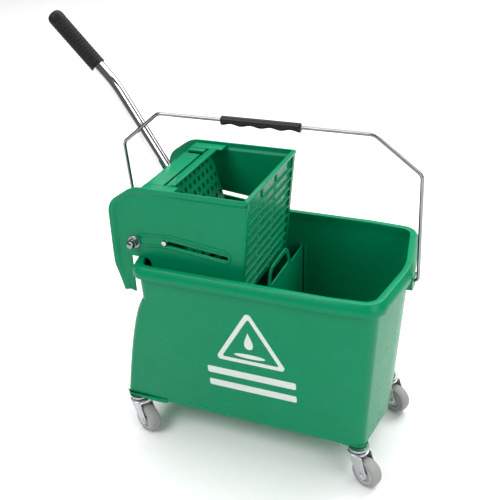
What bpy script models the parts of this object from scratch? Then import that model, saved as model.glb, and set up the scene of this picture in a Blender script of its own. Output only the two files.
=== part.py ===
"""Mop bucket on four swivel casters, with a lever wringer, a lift-out divider and a wire bail.

Metres, +Z up. +X runs along the bucket to its open end, the wringer stands at the -X end and the
bucket's near side faces -Y. The object's lengths are given in a bucket frame whose X = 0 is halfway
between the bail's pivots; the empty "bucket_frame" moves that frame so that the whole object is
centred on the origin.
"""

import math

import bmesh
import bpy
from mathutils import Matrix, Vector

# ---------------------------------------------------------------- driving dimensions
FRAME_SHIFT = 0.05690  # bucket frame to object frame, along X
GAP = 0.0003  # clearance between pieces that touch

# bucket: half width, end corners and end middles at the base and below the rim
BASE_Z = 0.070
RIM_Z = 0.350
WALL_TOP_Z = 0.332
WALL = 0.003
FLOOR_Z = BASE_Z + 0.005
HALF_WIDTH = (0.105, 0.126)
RIGHT_CORNER = (0.186, 0.203)
RIGHT_BOW = (0.014, 0.019)
LEFT_CORNER = (-0.176, -0.168)
LEFT_BOW = (0.012, 0.034)
CORNER_RADIUS = (0.013, 0.024)
FLARE = 0.058  # how far the base runs out under the wringer
FLARE_TOP_Z = 0.322
FLARE_CURVE = 1.15
END_BOW_RADIUS = 0.16
LIP_OUT = 0.0092  # how far the rim's lip stands out from the wall
LUG_OUT = 0.0085
LUG_HALF, LUG_DROP = 0.011, 0.013

# bail
PIVOT_X = 0.236
PIVOT_Z = 0.326
BAIL_WIRE = 0.0055
BAIL_LEAN = math.radians(5)
BAIL_SHOULDER = 0.178  # leg length up to the sloping shoulder
BAIL_TOP = 0.233
BAIL_TOP_HALF = 0.168
GRIP_HALF = 0.062

# wringer housing
PANEL_OUT = 0.1040
PANEL_IN = 0.0975
PANEL_SKIN = 0.1005
HOUSING_TOP_Z = 0.471
FRONT_TOP_X = 0.006
FRONT_SLOPE = 15 / 136  # the grille wall leans out towards its top
HOUSING_FLOOR_Z = 0.292
LEDGE_TOP_Z = HOUSING_FLOOR_Z - GAP
HOOK_TIP_Z = 0.284
HOOK_IN_X = -0.1945
PANEL_BACK_X = -0.2255
PANEL_BORDER = 0.008  # the raised border round a panel's outside
RIB_PITCH = 0.0170
RIB_COUNT = 9
HOLE_COLUMNS = (-0.036, 0.022, 0.080)
HOLE_HALF = 0.006
HOLE_HEIGHT = 0.0085
WINDOW_HEIGHT = 0.017

# lever, carriage and press plate
AXLE = Vector((-0.186, 0, 0.376))
AXLE_DIAMETER = 0.010
THROW = math.radians(60)
ROD = Vector((-0.133, 0, 0.382))
ROD_DIAMETER = 0.0075
SLOT_END = Vector((-0.032, 0, 0.371))
SLOT_HEIGHT = 0.0084
TRAVEL = 0.087
PLATE_LEAN = math.radians(13)
PLATE_FACE = 0.0214  # rod axis to the plate's front face
PLATE_TOP = 0.083
PLATE_FOOT = 0.064
PLATE_THICK = 0.0045
PLATE_FLANGE = 0.012
PLATE_HALF = 0.077
YOKE_HALF = 0.077
SOCKET_RADIUS, SOCKET_DEPTH = 0.0138, 0.052
CHEEK_IN, CHEEK_OUT = 0.081, 0.085
CAM_RADIUS = 0.080
CAM_ANGLE = math.radians(20)
CAM_PIN = 0.0070
CAM_SLOT = 0.0088
TUBE_DIAMETER = 0.020
TUBE_WALL = 0.0015
TUBE_AT = Vector((-0.177, 0, 0.467))  # a point on the straight lower part of the tube
TUBE_LEAN = math.radians(30.7)
TUBE_BEND_LEAN = math.radians(42.4)
TUBE_BOTTOM_Z = 0.407
TUBE_BEND_Z = 0.592
LEVER_TIP = Vector((-0.343, 0, 0.692))
GRIP_LENGTH = 0.104
GRIP_DIAMETER = 0.0255

# divider
DIVIDER_X = 0.0135
DIVIDER_THICK = 0.003
DIVIDER_TOP_Z = 0.293
DIVIDER_HANDLE_Z = 0.330
DIVIDER_HANDLE_HALF = 0.052

# casters: swivel axes, wheel and fork
CASTERS = {
    "near_right": (0.177, -0.097),
    "far_right": (0.177, 0.097),
    "near_left": (-0.217, -0.096),
    "far_left": (-0.217, 0.096),
}
CASTER_YAW = math.radians(-24)
TRAIL = 0.018
WHEEL_RADIUS = 0.025
WHEEL_HALF = 0.010
FORK_IN, FORK_OUT = 0.0115, 0.0135
FORK_TOP_Z = 0.0605


# ---------------------------------------------------------------- scene, materials and helpers
def clear_scene():
    for obj in list(bpy.data.objects):
        bpy.data.objects.remove(obj, do_unlink=True)


def material(name, colour, roughness, metallic=0.0):
    made = bpy.data.materials.new(name)
    made.use_nodes = True
    shader = made.node_tree.nodes["Principled BSDF"]
    shader.inputs["Base Color"].default_value = (*colour, 1)
    shader.inputs["Roughness"].default_value = roughness
    shader.inputs["Metallic"].default_value = metallic
    return made


clear_scene()
GREEN = material("green_polypropylene", (0.0, 0.24, 0.11), 0.28)
STEEL = material("chromed_steel", (0.75, 0.75, 0.77), 0.12, 1.0)
ZINC = material("zinc_plated_steel", (0.62, 0.62, 0.63), 0.35, 1.0)
RUBBER = material("black_rubber", (0.02, 0.02, 0.022), 0.6)
TYRE = material("grey_rubber", (0.42, 0.41, 0.40), 0.6)
HUB = material("grey_plastic", (0.5, 0.49, 0.48), 0.5)


def lerp(pair, share):
    return pair[0] + (pair[1] - pair[0]) * share


def place(obj, parent, location=(0, 0, 0), rotation=(0, 0, 0)):
    obj.parent = parent
    obj.location = location
    obj.rotation_euler = rotation
    return obj


def empty(name, parent=None, location=(0, 0, 0), rotation=(0, 0, 0)):
    made = bpy.data.objects.new(name, None)
    bpy.context.collection.objects.link(made)
    return place(made, parent, location, rotation)


def from_bmesh(name, bm, finish=None, smooth=True):
    bmesh.ops.recalc_face_normals(bm, faces=bm.faces)
    mesh = bpy.data.meshes.new(name)
    bm.to_mesh(mesh)
    bm.free()
    made = bpy.data.objects.new(name, mesh)
    bpy.context.collection.objects.link(made)
    if finish:
        mesh.materials.append(finish)
    if smooth:
        mesh.shade_smooth()
        mesh.set_sharp_from_angle(angle=math.radians(35))
    return made


def helper(obj):
    """Marks a shape that only cuts or joins."""
    obj.hide_render = True
    obj.display_type = "WIRE"
    return obj


def boolean(obj, other, operation):
    modifier = obj.modifiers.new(operation.lower(), "BOOLEAN")
    modifier.operation = operation
    modifier.solver = "EXACT"
    modifier.object = helper(other)
    other.parent = obj.parent
    return obj


def add(obj, *others):
    for other in others:
        boolean(obj, other, "UNION")
    return obj


def cut(obj, *others):
    for other in others:
        boolean(obj, other, "DIFFERENCE")
    return obj


def loft(bm, rings):
    """Joins closed rings of equal length with quads and caps the two ends."""
    rows = [[bm.verts.new(point) for point in ring] for ring in rings]
    count = len(rows[0])
    for low, high in zip(rows, rows[1:]):
        for i in range(count):
            j = (i + 1) % count
            bm.faces.new((low[i], low[j], high[j], high[i]))
    bm.faces.new(list(reversed(rows[0])))
    bm.faces.new(rows[-1])


def prism_xz(name, outline, y0, y1, finish=None):
    """An outline in the XZ plane, carried along Y."""
    bm = bmesh.new()
    loft(bm, [[(x, y, z) for x, z in outline] for y in (y0, y1)])
    return from_bmesh(name, bm, finish, smooth=False)


def prism_xy(name, outline, z0, z1, finish=None):
    bm = bmesh.new()
    loft(bm, [[(x, y, z) for x, y in outline] for z in (z0, z1)])
    return from_bmesh(name, bm, finish, smooth=False)


def prism_yz(name, outline, x0, x1, finish=None):
    bm = bmesh.new()
    loft(bm, [[(x, y, z) for y, z in outline] for x in (x0, x1)])
    return from_bmesh(name, bm, finish, smooth=False)


def box(name, low, high, finish=None):
    corners = [(low[0], low[1]), (high[0], low[1]), (high[0], high[1]), (low[0], high[1])]
    return prism_xy(name, corners, low[2], high[2], finish)


def boxes(name, corners):
    """Many separate boxes in one cutter."""
    bm = bmesh.new()
    for low, high in corners:
        rings = [[(low[0], low[1], z), (high[0], low[1], z), (high[0], high[1], z), (low[0], high[1], z)]
                 for z in (low[2], high[2])]
        loft(bm, rings)
    return from_bmesh(name, bm, smooth=False)


def circle(centre, radius, sides, start=0.0):
    return [(centre[0] + radius * math.cos(start + 2 * math.pi * i / sides),
             centre[1] + radius * math.sin(start + 2 * math.pi * i / sides)) for i in range(sides)]


def rod_y(name, centre, radius, y0, y1, sides=16, finish=None):
    """A round bar along Y through a centre given as (x, z)."""
    bm = bmesh.new()
    loft(bm, [[(x, y, z) for x, z in circle(centre, radius, sides, math.pi / sides)] for y in (y0, y1)])
    return from_bmesh(name, bm, finish)


def turned(name, profile, finish=None, sides=24, along="z"):
    """A profile of (radius, height), bottom to top, turned about Z or Y. It starts and ends at radius 0
    or returns to its first point as a ring."""
    bm = bmesh.new()
    ring_shaped = profile[0][0] > 0
    rows = []
    for radius, height in profile:
        if radius == 0:
            rows.append([bm.verts.new((0, 0, height))])
        else:
            rows.append([bm.verts.new((x, y, height)) for x, y in circle((0, 0), radius, sides)])
    pairs = list(zip(rows, rows[1:]))
    if ring_shaped:
        pairs.append((rows[-1], rows[0]))
    for low, high in pairs:
        for i in range(sides):
            j = (i + 1) % sides
            corners = [low[i % len(low)], low[j % len(low)], high[j % len(high)], high[i % len(high)]]
            distinct = list(dict.fromkeys(corners))
            bm.faces.new(distinct)
    if along == "y":
        bmesh.ops.rotate(bm, verts=bm.verts, matrix=Matrix.Rotation(math.radians(-90), 3, "X"))
    return from_bmesh(name, bm, finish)


def rounded(points, radii, segments=4):
    """A closed outline whose corners are replaced by arcs of the given radii."""
    outline = []
    count = len(points)
    for i, point in enumerate(points):
        before = Vector(points[i - 1]) - Vector(point)
        after = Vector(points[(i + 1) % count]) - Vector(point)
        radius = radii[i]
        if radius <= 0:
            outline.append(tuple(point))
            continue
        half = before.angle(after) / 2
        reach = radius / math.tan(half)
        start = Vector(point) + before.normalized() * reach
        middle = (before.normalized() + after.normalized()).normalized()
        centre = Vector(point) + middle * radius / math.sin(half)
        sweep = math.pi - 2 * half
        turn = math.copysign(sweep, before.x * after.y * -1 + before.y * after.x)
        arm = start - centre
        for step in range(segments + 1):
            angle = turn * step / segments
            cos, sin = math.cos(angle), math.sin(angle)
            outline.append((centre.x + arm.x * cos - arm.y * sin, centre.y + arm.x * sin + arm.y * cos))
    return outline


# ---------------------------------------------------------------- bucket
def bucket_ring(z, out, height=None):
    """The bucket's outline at a height, moved outwards by a distance. It has straight sides, bowed
    ends and, low down at the wringer's end, a base that runs out under the wringer."""
    share = (z - BASE_Z) / (WALL_TOP_Z - BASE_Z)
    width = lerp(HALF_WIDTH, share) + out
    right = lerp(RIGHT_CORNER, share) + out
    low = 1 - min(1.0, (z - BASE_Z) / (FLARE_TOP_Z - BASE_Z)) ** FLARE_CURVE
    left = lerp(LEFT_CORNER, share) - out - FLARE * low
    corner = lerp(CORNER_RADIUS, share) + max(out, -0.006)
    points = [(left, -width), (right, -width), (right + lerp(RIGHT_BOW, share), 0),
              (right, width), (left, width), (left - lerp(LEFT_BOW, share), 0)]
    ring = rounded(points, [corner, corner, END_BOW_RADIUS, corner, corner, END_BOW_RADIUS])
    return [(x, y, z if height is None else height) for x, y in ring]


def make_tub(parent):
    levels = [BASE_Z + (FLARE_TOP_Z - BASE_Z) * i / 5 for i in range(6)]
    rings = [bucket_ring(BASE_Z, -0.003, BASE_Z)]
    rings += [bucket_ring(z, 0, z + (0.002 if i == 0 else 0)) for i, z in enumerate(levels)]
    rim = [(WALL_TOP_Z, 0, WALL_TOP_Z), (WALL_TOP_Z, 0.0070, WALL_TOP_Z - 0.0015),
           (WALL_TOP_Z, LIP_OUT, WALL_TOP_Z), (WALL_TOP_Z, LIP_OUT - 0.0004, RIM_Z - 0.008),
           (WALL_TOP_Z, 0.0035, RIM_Z - 0.0006), (WALL_TOP_Z, 0.0015, RIM_Z),
           (WALL_TOP_Z, -0.0040, RIM_Z), (WALL_TOP_Z, -0.0052, RIM_Z - 0.0015),
           (WALL_TOP_Z, -0.0040, RIM_Z - 0.012)]
    rings += [bucket_ring(z, out, height) for z, out, height in rim]
    rings += [bucket_ring(z, -WALL, z) for z in reversed(levels[1:])]
    rings += [bucket_ring(FLOOR_Z, -WALL - 0.001, FLOOR_Z)]
    bm = bmesh.new()
    loft(bm, rings)
    tub = place(from_bmesh("bucket_tub", bm, GREEN), parent)
    # ledges that carry the wringer, and the two channels for the divider
    for side in (-1, 1):
        at = sorted((side * 0.1000, side * 0.1215))
        add(tub, box(f"ledge{side}", (-0.120, at[0], 0.262), (-0.040, at[1], LEDGE_TOP_Z)))
        for x in (DIVIDER_X - 0.0055, DIVIDER_X + 0.0035):
            foot, top = side * 0.0985, side * 0.1125
            outline = [(foot, FLOOR_Z - 0.001), (side * 0.1042, FLOOR_Z - 0.001),
                       (side * 0.1215, DIVIDER_TOP_Z), (top, DIVIDER_TOP_Z)]
            add(tub, prism_yz(f"channel{side}_{x}", outline, x, x + 0.002))
    # lugs for the bail: a short one under the rim at the right, a longer one at the left
    right_wall = RIGHT_CORNER[1] + RIGHT_BOW[1]
    left_wall = -LEFT_CORNER[1] + LEFT_BOW[1]
    lug = [(-LUG_HALF, PIVOT_Z - LUG_DROP), (LUG_HALF, PIVOT_Z - LUG_DROP),
           (LUG_HALF + 0.004, WALL_TOP_Z + 0.001), (-LUG_HALF - 0.004, WALL_TOP_Z + 0.001)]
    add(tub, prism_yz("lug_right", lug, right_wall - 0.004, right_wall + LUG_OUT))
    add(tub, prism_yz("lug_left", lug, -PIVOT_X + 0.006, -left_wall + 0.004))
    bore = (BAIL_WIRE + 0.0012) / 2
    for sign in (-1, 1):
        wall = right_wall if sign > 0 else left_wall
        reach = sorted((sign * (wall + 0.0005), sign * (PIVOT_X + 0.01)))
        cutter = prism_yz(f"lug_bore{sign}", circle((0, PIVOT_Z), bore, 12), *reach)
        cut(tub, cutter)
    return tub


# ---------------------------------------------------------------- divider
def make_divider(parent):
    share = (DIVIDER_TOP_Z - BASE_Z) / (WALL_TOP_Z - BASE_Z)
    top = lerp(HALF_WIDTH, share) - WALL - 0.0015
    foot = HALF_WIDTH[0] - WALL - 0.0022
    foot_z = FLOOR_Z + 0.0005
    grip, rise = DIVIDER_HANDLE_HALF, DIVIDER_HANDLE_Z
    points = [(-foot, foot_z), (foot, foot_z), (top, DIVIDER_TOP_Z), (grip, DIVIDER_TOP_Z),
              (grip - 0.012, rise), (-grip + 0.012, rise), (-grip, DIVIDER_TOP_Z), (-top, DIVIDER_TOP_Z)]
    outline = rounded(points, [0.006, 0.006, 0, 0, 0.020, 0.020, 0, 0])
    x0, x1 = DIVIDER_X - DIVIDER_THICK / 2, DIVIDER_X + DIVIDER_THICK / 2
    plate = place(prism_yz("divider_plate", outline, x0, x1, GREEN), parent)
    finger = rounded([(-0.040, 0.299), (0.040, 0.299), (0.033, 0.322), (-0.033, 0.322)],
                     [0.004, 0.004, 0.012, 0.012])
    return cut(plate, prism_yz("divider_finger_slot", finger, x0 - 0.01, x1 + 0.01))


# ---------------------------------------------------------------- wringer housing
def front_x(z):
    return FRONT_TOP_X - (HOUSING_TOP_Z - z) * FRONT_SLOPE


def panel_outline(inset=0.0):
    """A side panel: a high rounded back, a hook that hangs outside the bucket's end, a notch over the
    rim, and a lower part inside the bucket."""
    top, foot = HOUSING_TOP_Z - inset, HOUSING_FLOOR_Z
    back = PANEL_BACK_X + inset
    front_low = front_x(foot) - inset
    points = [(FRONT_TOP_X - inset, top), (-0.178, top), (back + 0.002, 0.440), (back, 0.330),
              (-0.2145, HOOK_TIP_Z), (HOOK_IN_X, HOOK_TIP_Z), (HOOK_IN_X, RIM_Z + GAP),
              (-0.1610, RIM_Z + GAP), (-0.1560, foot), (front_low, foot)]
    radii = [0.003, 0.046, 0.034, 0.030, 0.003, 0.002, 0.003, 0.010, 0.012, 0.002]
    return rounded(points, radii)


def slot_outline(height, before=0.0, after=0.0):
    along = (SLOT_END - ROD).normalized()
    across = Vector((-along.z, 0, along.x))
    start, end = ROD - along * before, SLOT_END + along * after
    outline = []
    for centre, side in ((end, 1), (start, -1)):
        for step in range(7):
            angle = math.radians(90 - 30 * step)
            arm = (along * math.cos(angle) * side + across * math.sin(angle) * side) * height / 2
            outline.append(((centre + arm).x, (centre + arm).z))
    return outline


def make_housing(parent):
    body = place(prism_xz("wringer_housing", panel_outline(), -PANEL_OUT, PANEL_OUT, GREEN), parent)
    inner_back = PANEL_BACK_X + WALL
    inside = [(front_x(0.52) - WALL, 0.52), (-0.30, 0.52), (-0.30, 0.440), (inner_back, 0.440),
              (inner_back, 0.3565), (-0.150, 0.3565), (-0.146, HOUSING_FLOOR_Z + 0.003),
              (front_x(HOUSING_FLOOR_Z) - WALL, HOUSING_FLOOR_Z + 0.003)]
    cut(body, prism_xz("housing_inside", inside, -PANEL_IN, PANEL_IN))
    # behind the bucket's end wall only the two hooks reach down
    under = RIM_Z + GAP + 0.001
    below = [(-0.30, 0.20), (-0.1580, 0.20), (-0.1580, under), (-0.30, under)]
    cut(body, prism_xz("housing_below", below, -PANEL_IN, PANEL_IN))
    # outside faces are sunk inside a raised border, and the slot has a border of its own
    for side in (-1, 1):
        name = "near" if side < 0 else "far"
        y0, y1 = sorted((side * PANEL_SKIN, side * (PANEL_OUT + 0.01)))
        recess = prism_xz(f"recess_{name}", recess_outline(), y0, y1)
        cut(body, recess)
        y0, y1 = sorted((side * (PANEL_SKIN - 0.001), side * PANEL_OUT))
        add(body, prism_xz(f"slot_border_{name}", slot_outline(0.022, 0.027, 0.004), y0, y1))
        y0, y1 = sorted((side * (PANEL_IN - 0.01), side * (PANEL_OUT + 0.01)))
        cut(body, prism_xz(f"slot_{name}", slot_outline(SLOT_HEIGHT, 0.0, 0.0005), y0, y1))
    cut(body, rod_y("axle_bore", (AXLE.x, AXLE.z), AXLE_DIAMETER / 2 + GAP, -0.13, 0.13))
    add(body, *grille_ribs())
    cut(body, grille_holes(), floor_holes())
    return body


def recess_outline():
    """The panel's outline drawn in by the border's width, kept above the hook and the rim notch."""
    border = PANEL_BORDER
    points = [(FRONT_TOP_X - 0.004, HOUSING_TOP_Z - border), (-0.178, HOUSING_TOP_Z - border),
              (-0.2155, 0.439), (-0.2175, 0.330), (-0.2110, 0.298), (-0.2000, 0.298), (-0.1990, 0.362),
              (-0.1560, 0.362), (-0.1500, 0.304), (front_x(0.304) - 0.004, 0.304)]
    return rounded(points, [0.003, 0.038, 0.028, 0.02, 0.003, 0.003, 0.003, 0.003, 0.003, 0.003])


def rib_z(i):
    return HOUSING_TOP_Z - 0.028 - RIB_PITCH * i


def grille_ribs():
    """Thin ribs across the front wall, each following the wall's lean."""
    ribs = []
    for i in range(RIB_COUNT):
        z = rib_z(i)
        x = front_x(z)
        ribs.append(box(f"rib_{i}", (x - 0.002, -0.0985, z), (x + 0.0035, 0.0985, z + 0.002)))
    top = HOUSING_TOP_Z - 0.0045
    low, high = (FRONT_TOP_X - 0.002, -0.1035, top), (FRONT_TOP_X + 0.0035, 0.1035, HOUSING_TOP_Z)
    ribs.append(box("rib_top", low, high))
    return ribs


def grille_holes():
    holes = []
    for y in HOLE_COLUMNS:
        for i in range(RIB_COUNT):
            x, top = front_x(rib_z(i)), rib_z(i) - 0.0015
            holes.append(((x - 0.02, y - HOLE_HALF, top - HOLE_HEIGHT), (x + 0.012, y + HOLE_HALF, top)))
        x, low = front_x(rib_z(0)), rib_z(0) + 0.0035
        holes.append(((x - 0.02, y - HOLE_HALF, low), (x + 0.012, y + HOLE_HALF, low + WINDOW_HEIGHT)))
    return boxes("grille_holes", holes)


def floor_holes():
    holes = []
    for i in range(4):
        for j in range(5):
            x, y = -0.130 + 0.028 * i, -0.080 + 0.034 * j
            holes.append(((x, y, HOUSING_FLOOR_Z - 0.01), (x + 0.016, y + 0.024, HOUSING_FLOOR_Z + 0.01)))
    return boxes("floor_holes", holes)


# ---------------------------------------------------------------- lever
def cam_point(share):
    """Where the cam pin stands in the carriage's own frame when the lever has made this share of its
    throw. The pin turns about the axle and the carriage slides in step with it."""
    angle = CAM_ANGLE + THROW * share
    pin = AXLE + Vector((math.sin(angle), 0, math.cos(angle))) * CAM_RADIUS
    return pin - (SLOT_END - ROD).normalized() * TRAVEL * share


def band(points, width, closed_ends=6):
    """The outline of a line of points drawn with a round pen."""
    line = [Vector((p.x, p.z)) for p in points]
    left, right = [], []
    for i, point in enumerate(line):
        ahead = line[min(i + 1, len(line) - 1)] - line[max(i - 1, 0)]
        across = Vector((-ahead.y, ahead.x)).normalized() * width / 2
        left.append(tuple(point + across))
        right.append(tuple(point - across))
    start = math.atan2(line[-1].y - line[-2].y, line[-1].x - line[-2].x)
    end = math.atan2(line[0].y - line[1].y, line[0].x - line[1].x)
    tip = [(line[-1].x + width / 2 * math.cos(start + math.pi * (0.5 - k / closed_ends)),
            line[-1].y + width / 2 * math.sin(start + math.pi * (0.5 - k / closed_ends)))
           for k in range(1, closed_ends)]
    tail = [(line[0].x + width / 2 * math.cos(end + math.pi * (0.5 - k / closed_ends)),
             line[0].y + width / 2 * math.sin(end + math.pi * (0.5 - k / closed_ends)))
            for k in range(1, closed_ends)]
    return left + tip + right[::-1] + tail


def make_cheek(name, y0, y1, parent):
    """One of the two cam plates fixed to the guide rod."""
    points = [(-0.121, 0.371), (-0.121, 0.396), (-0.147, 0.4600), (-0.171, 0.4600), (-0.205, 0.409),
              (-0.205, 0.389), (-0.150, 0.389), (-0.140, 0.371)]
    outline = rounded(points, [0.008, 0.010, 0.006, 0.008, 0.008, 0.006, 0.010, 0.008])
    cheek = place(prism_xz(name, outline, y0, y1, GREEN), parent)
    path = [cam_point(-0.03 + 1.06 * i / 10) for i in range(11)]
    cut(cheek, prism_xz(name + "_cam", band(path, CAM_SLOT), y0 - 0.01, y1 + 0.01))
    return cut(cheek, rod_y(name + "_bore", (ROD.x, ROD.z), ROD_DIAMETER / 2 + GAP, y0 - 0.01, y1 + 0.01))


def tube_path():
    """The tube's centre line: straight out of the yoke, one bend backwards, straight to the tip."""
    low_way = Vector((-math.sin(TUBE_LEAN), 0, math.cos(TUBE_LEAN)))
    high_way = Vector((-math.sin(TUBE_BEND_LEAN), 0, math.cos(TUBE_BEND_LEAN)))
    bottom = TUBE_AT + low_way * (TUBE_BOTTOM_Z - TUBE_AT.z) / low_way.z
    corner = TUBE_AT + low_way * (TUBE_BEND_Z - TUBE_AT.z) / low_way.z
    tip = corner + high_way * ((LEVER_TIP - corner).dot(high_way))
    reach = 0.022
    points = [bottom]
    for step in range(5):
        share = step / 4
        a = corner - low_way * reach
        b = corner + high_way * reach
        points.append(a * (1 - share) ** 2 + corner * 2 * share * (1 - share) + b * share ** 2)
    points.append(tip)
    return points, low_way, high_way


def make_tube(parent):
    path, low_way, high_way = tube_path()
    path = path[:-1] + [path[-1] - high_way * 0.004]
    ways = [low_way] + [low_way.lerp(high_way, k / 4).normalized() for k in range(5)] + [high_way]
    side = Vector((0, 1, 0))
    sides = 14
    bm = bmesh.new()
    rows = []
    for radius, order in ((TUBE_DIAMETER / 2, 1), (TUBE_DIAMETER / 2 - TUBE_WALL, -1)):
        for point, way in list(zip(path, ways))[::order]:
            across = way.cross(side)
            ring = [point + side * math.cos(2 * math.pi * k / sides) * radius
                    + across * math.sin(2 * math.pi * k / sides) * radius for k in range(sides)]
            rows.append([bm.verts.new(p) for p in ring])
    for low, high in zip(rows, rows[1:] + rows[:1]):
        for i in range(sides):
            j = (i + 1) % sides
            bm.faces.new((low[i], low[j], high[j], high[i]))
    tube = place(from_bmesh("lever_tube", bm, STEEL), parent)
    bolt = clamp_bolt_centre()
    return cut(tube, rod_y("tube_bolt_hole", (bolt.x, bolt.z), 0.003 + GAP, -0.03, 0.03, 10))


def make_lever_grip(parent):
    path, _, way = tube_path()
    tip = path[-1]
    bore = TUBE_DIAMETER / 2 + GAP
    radius = GRIP_DIAMETER / 2
    floor = GRIP_LENGTH - 0.0035
    profile = [(bore, 0), (radius - 0.001, 0), (radius, 0.0015), (radius, GRIP_LENGTH - 0.007),
               (radius * 0.86, GRIP_LENGTH - 0.0022), (radius * 0.5, GRIP_LENGTH),
                (0, GRIP_LENGTH + 0.0004)]
    bm = bmesh.new()
    sides = 20
    rows = []
    for r, h in profile + [(0, floor), (bore, floor)]:
        rows.append([bm.verts.new((0, 0, h))] if r == 0 else
                    [bm.verts.new((x, y, h)) for x, y in circle((0, 0), r, sides)])
    skip = len(profile) - 1
    for index, (low, high) in enumerate(zip(rows, rows[1:] + rows[:1])):
        if index == skip:
            continue
        for i in range(sides):
            j = (i + 1) % sides
            corners = [low[i % len(low)], low[j % len(low)], high[j % len(high)], high[i % len(high)]]
            bm.faces.new(list(dict.fromkeys(corners)))
    grip = from_bmesh("lever_grip", bm, RUBBER)
    start = tip - way * (GRIP_LENGTH - 0.0045)
    return place(grip, parent, start, (0, -TUBE_BEND_LEAN, 0))


def make_yoke(parent):
    """The moulded rocker: a top strip, a back plate and two side webs on a hub, with a socket for the
    tube."""
    top = HOUSING_TOP_Z - 0.0035
    strip = [(-0.168, top), (-0.168, top - 0.0035), (-0.2000, 0.384), (-0.1965, 0.3835),
             (-0.1655, top - 0.0060), (-0.1385, top - 0.0035), (-0.1385, top)]
    yoke = place(prism_xz("lever_yoke", strip, -YOKE_HALF, YOKE_HALF, GREEN), parent)
    hub_half = YOKE_HALF + 0.001
    add(yoke, rod_y("yoke_hub", (AXLE.x, AXLE.z), 0.0125, -hub_half, hub_half, 20))
    web = [(-0.1662, top - 0.0012), (-0.1980, 0.386), (-0.188, 0.368), (-0.178, 0.372), (-0.149, 0.430),
           (-0.1400, top - 0.0012)]
    for side in (-1, 1):
        for y, thick in ((side * (YOKE_HALF - 0.0019), 0.0036), (side * 0.017, 0.003)):
            add(yoke, prism_xz(f"web_{side}_{y:.3f}", web, y - thick / 2, y + thick / 2))
    path, _, _ = tube_path()
    foot = path[0]
    radius = TUBE_DIAMETER / 2 + GAP
    outside = [(0, -WALL), (SOCKET_RADIUS, -WALL), (SOCKET_RADIUS, SOCKET_DEPTH), (0, SOCKET_DEPTH)]
    sleeve = turned("yoke_socket", outside)
    sleeve.location, sleeve.rotation_euler = foot, (0, -TUBE_LEAN, 0)
    add(yoke, sleeve)
    inside = [(0, -GAP), (radius, -GAP), (radius, SOCKET_DEPTH + 0.038), (0, SOCKET_DEPTH + 0.038)]
    bore = turned("yoke_tube_bore", inside)
    bore.location, bore.rotation_euler = foot, (0, -TUBE_LEAN, 0)
    cut(yoke, bore, rod_y("yoke_axle_bore", (AXLE.x, AXLE.z), AXLE_DIAMETER / 2 + GAP, -0.1, 0.1))
    pin = cam_point(0)
    for side in (-1, 1):
        y0, y1 = sorted((side * 0.070, side * 0.1))
        cut(yoke, rod_y(f"yoke_pin_bore_{side}", (pin.x, pin.z), CAM_PIN / 2 + GAP, y0, y1, 12))
    bolt = clamp_bolt_centre()
    return cut(yoke, rod_y("yoke_bolt_bore", (bolt.x, bolt.z), 0.003 + GAP, -0.03, 0.03, 10))


def clamp_bolt_centre():
    path, low_way, _ = tube_path()
    return path[0] + low_way * 0.020


def make_cam_pin(name, side, parent):
    pin = cam_point(0)
    radius = CAM_PIN / 2
    profile = [(0, 0), (0.0055, 0), (0.0055, 0.0025), (radius, 0.0026), (radius, 0.0175), (0, 0.0175)]
    made = turned(name, profile, ZINC, 12, "y")
    turn = 0 if side > 0 else math.pi
    return place(made, parent, (pin.x, side * (YOKE_HALF - 0.0036 - 0.0026 - GAP), pin.z), (0, 0, turn))


def make_clamp_bolt(parent):
    bolt = clamp_bolt_centre()
    half = 0.0188
    profile = [(0, -half - 0.003), (0.005, -half - 0.003), (0.005, -half), (0.003, -half + 0.0001),
               (0.003, half), (0.005, half + 0.0001), (0.005, half + 0.003), (0, half + 0.003)]
    return place(turned("tube_bolt", profile, ZINC, 10, "y"), parent, bolt)


def make_axle(parent):
    axle = rod_y("lever_axle", (0, 0), AXLE_DIAMETER / 2, -0.1115, 0.1115, 16, ZINC)
    return place(axle, parent, AXLE)


def make_axle_end(side, name, parent):
    """A washer and an acorn nut on one end of the axle."""
    bore = AXLE_DIAMETER / 2 + GAP
    turn = 0 if side > 0 else math.pi
    at = PANEL_SKIN + GAP
    flat = [(bore, 0), (0.0102, 0), (0.0102, 0.0016), (bore, 0.0016)]
    washer = turned(f"axle_washer_{name}", flat, STEEL, 24, "y")
    place(washer, parent, (AXLE.x, side * at, AXLE.z), (0, 0, turn))
    height = 0.0150
    profile = [(bore, 0), (0.0078, 0), (0.0082, 0.0010), (0.0082, 0.0060), (0.0070, 0.0075),
               (0.0066, 0.0105), (0.0045, 0.0138), (0, height)]
    bm = bmesh.new()
    sides = 18
    rows = []
    inner = [(0, 0.0118), (bore, 0.0110)]
    for r, h in profile + inner:
        rows.append([bm.verts.new((0, 0, h))] if r == 0 else
                    [bm.verts.new((x, y, h)) for x, y in circle((0, 0), r, sides)])
    skip = len(profile) - 1
    for index, (low, high) in enumerate(zip(rows, rows[1:] + rows[:1])):
        if index == skip:
            continue
        for i in range(sides):
            j = (i + 1) % sides
            corners = [low[i % len(low)], low[j % len(low)], high[j % len(high)], high[i % len(high)]]
            bm.faces.new(list(dict.fromkeys(corners)))
    bmesh.ops.rotate(bm, verts=bm.verts, matrix=Matrix.Rotation(math.radians(-90), 3, "X"))
    nut = from_bmesh(f"axle_nut_{name}", bm, STEEL)
    return place(nut, parent, (AXLE.x, side * (at + 0.0016 + GAP), AXLE.z), (0, 0, turn))


# ---------------------------------------------------------------- carriage and press plate
def make_guide_rod(parent):
    half = PANEL_OUT - 0.001
    rod = rod_y("guide_rod", (0, 0), ROD_DIAMETER / 2, -half, half, 16, ZINC)
    return place(rod, parent, ROD)


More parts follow.
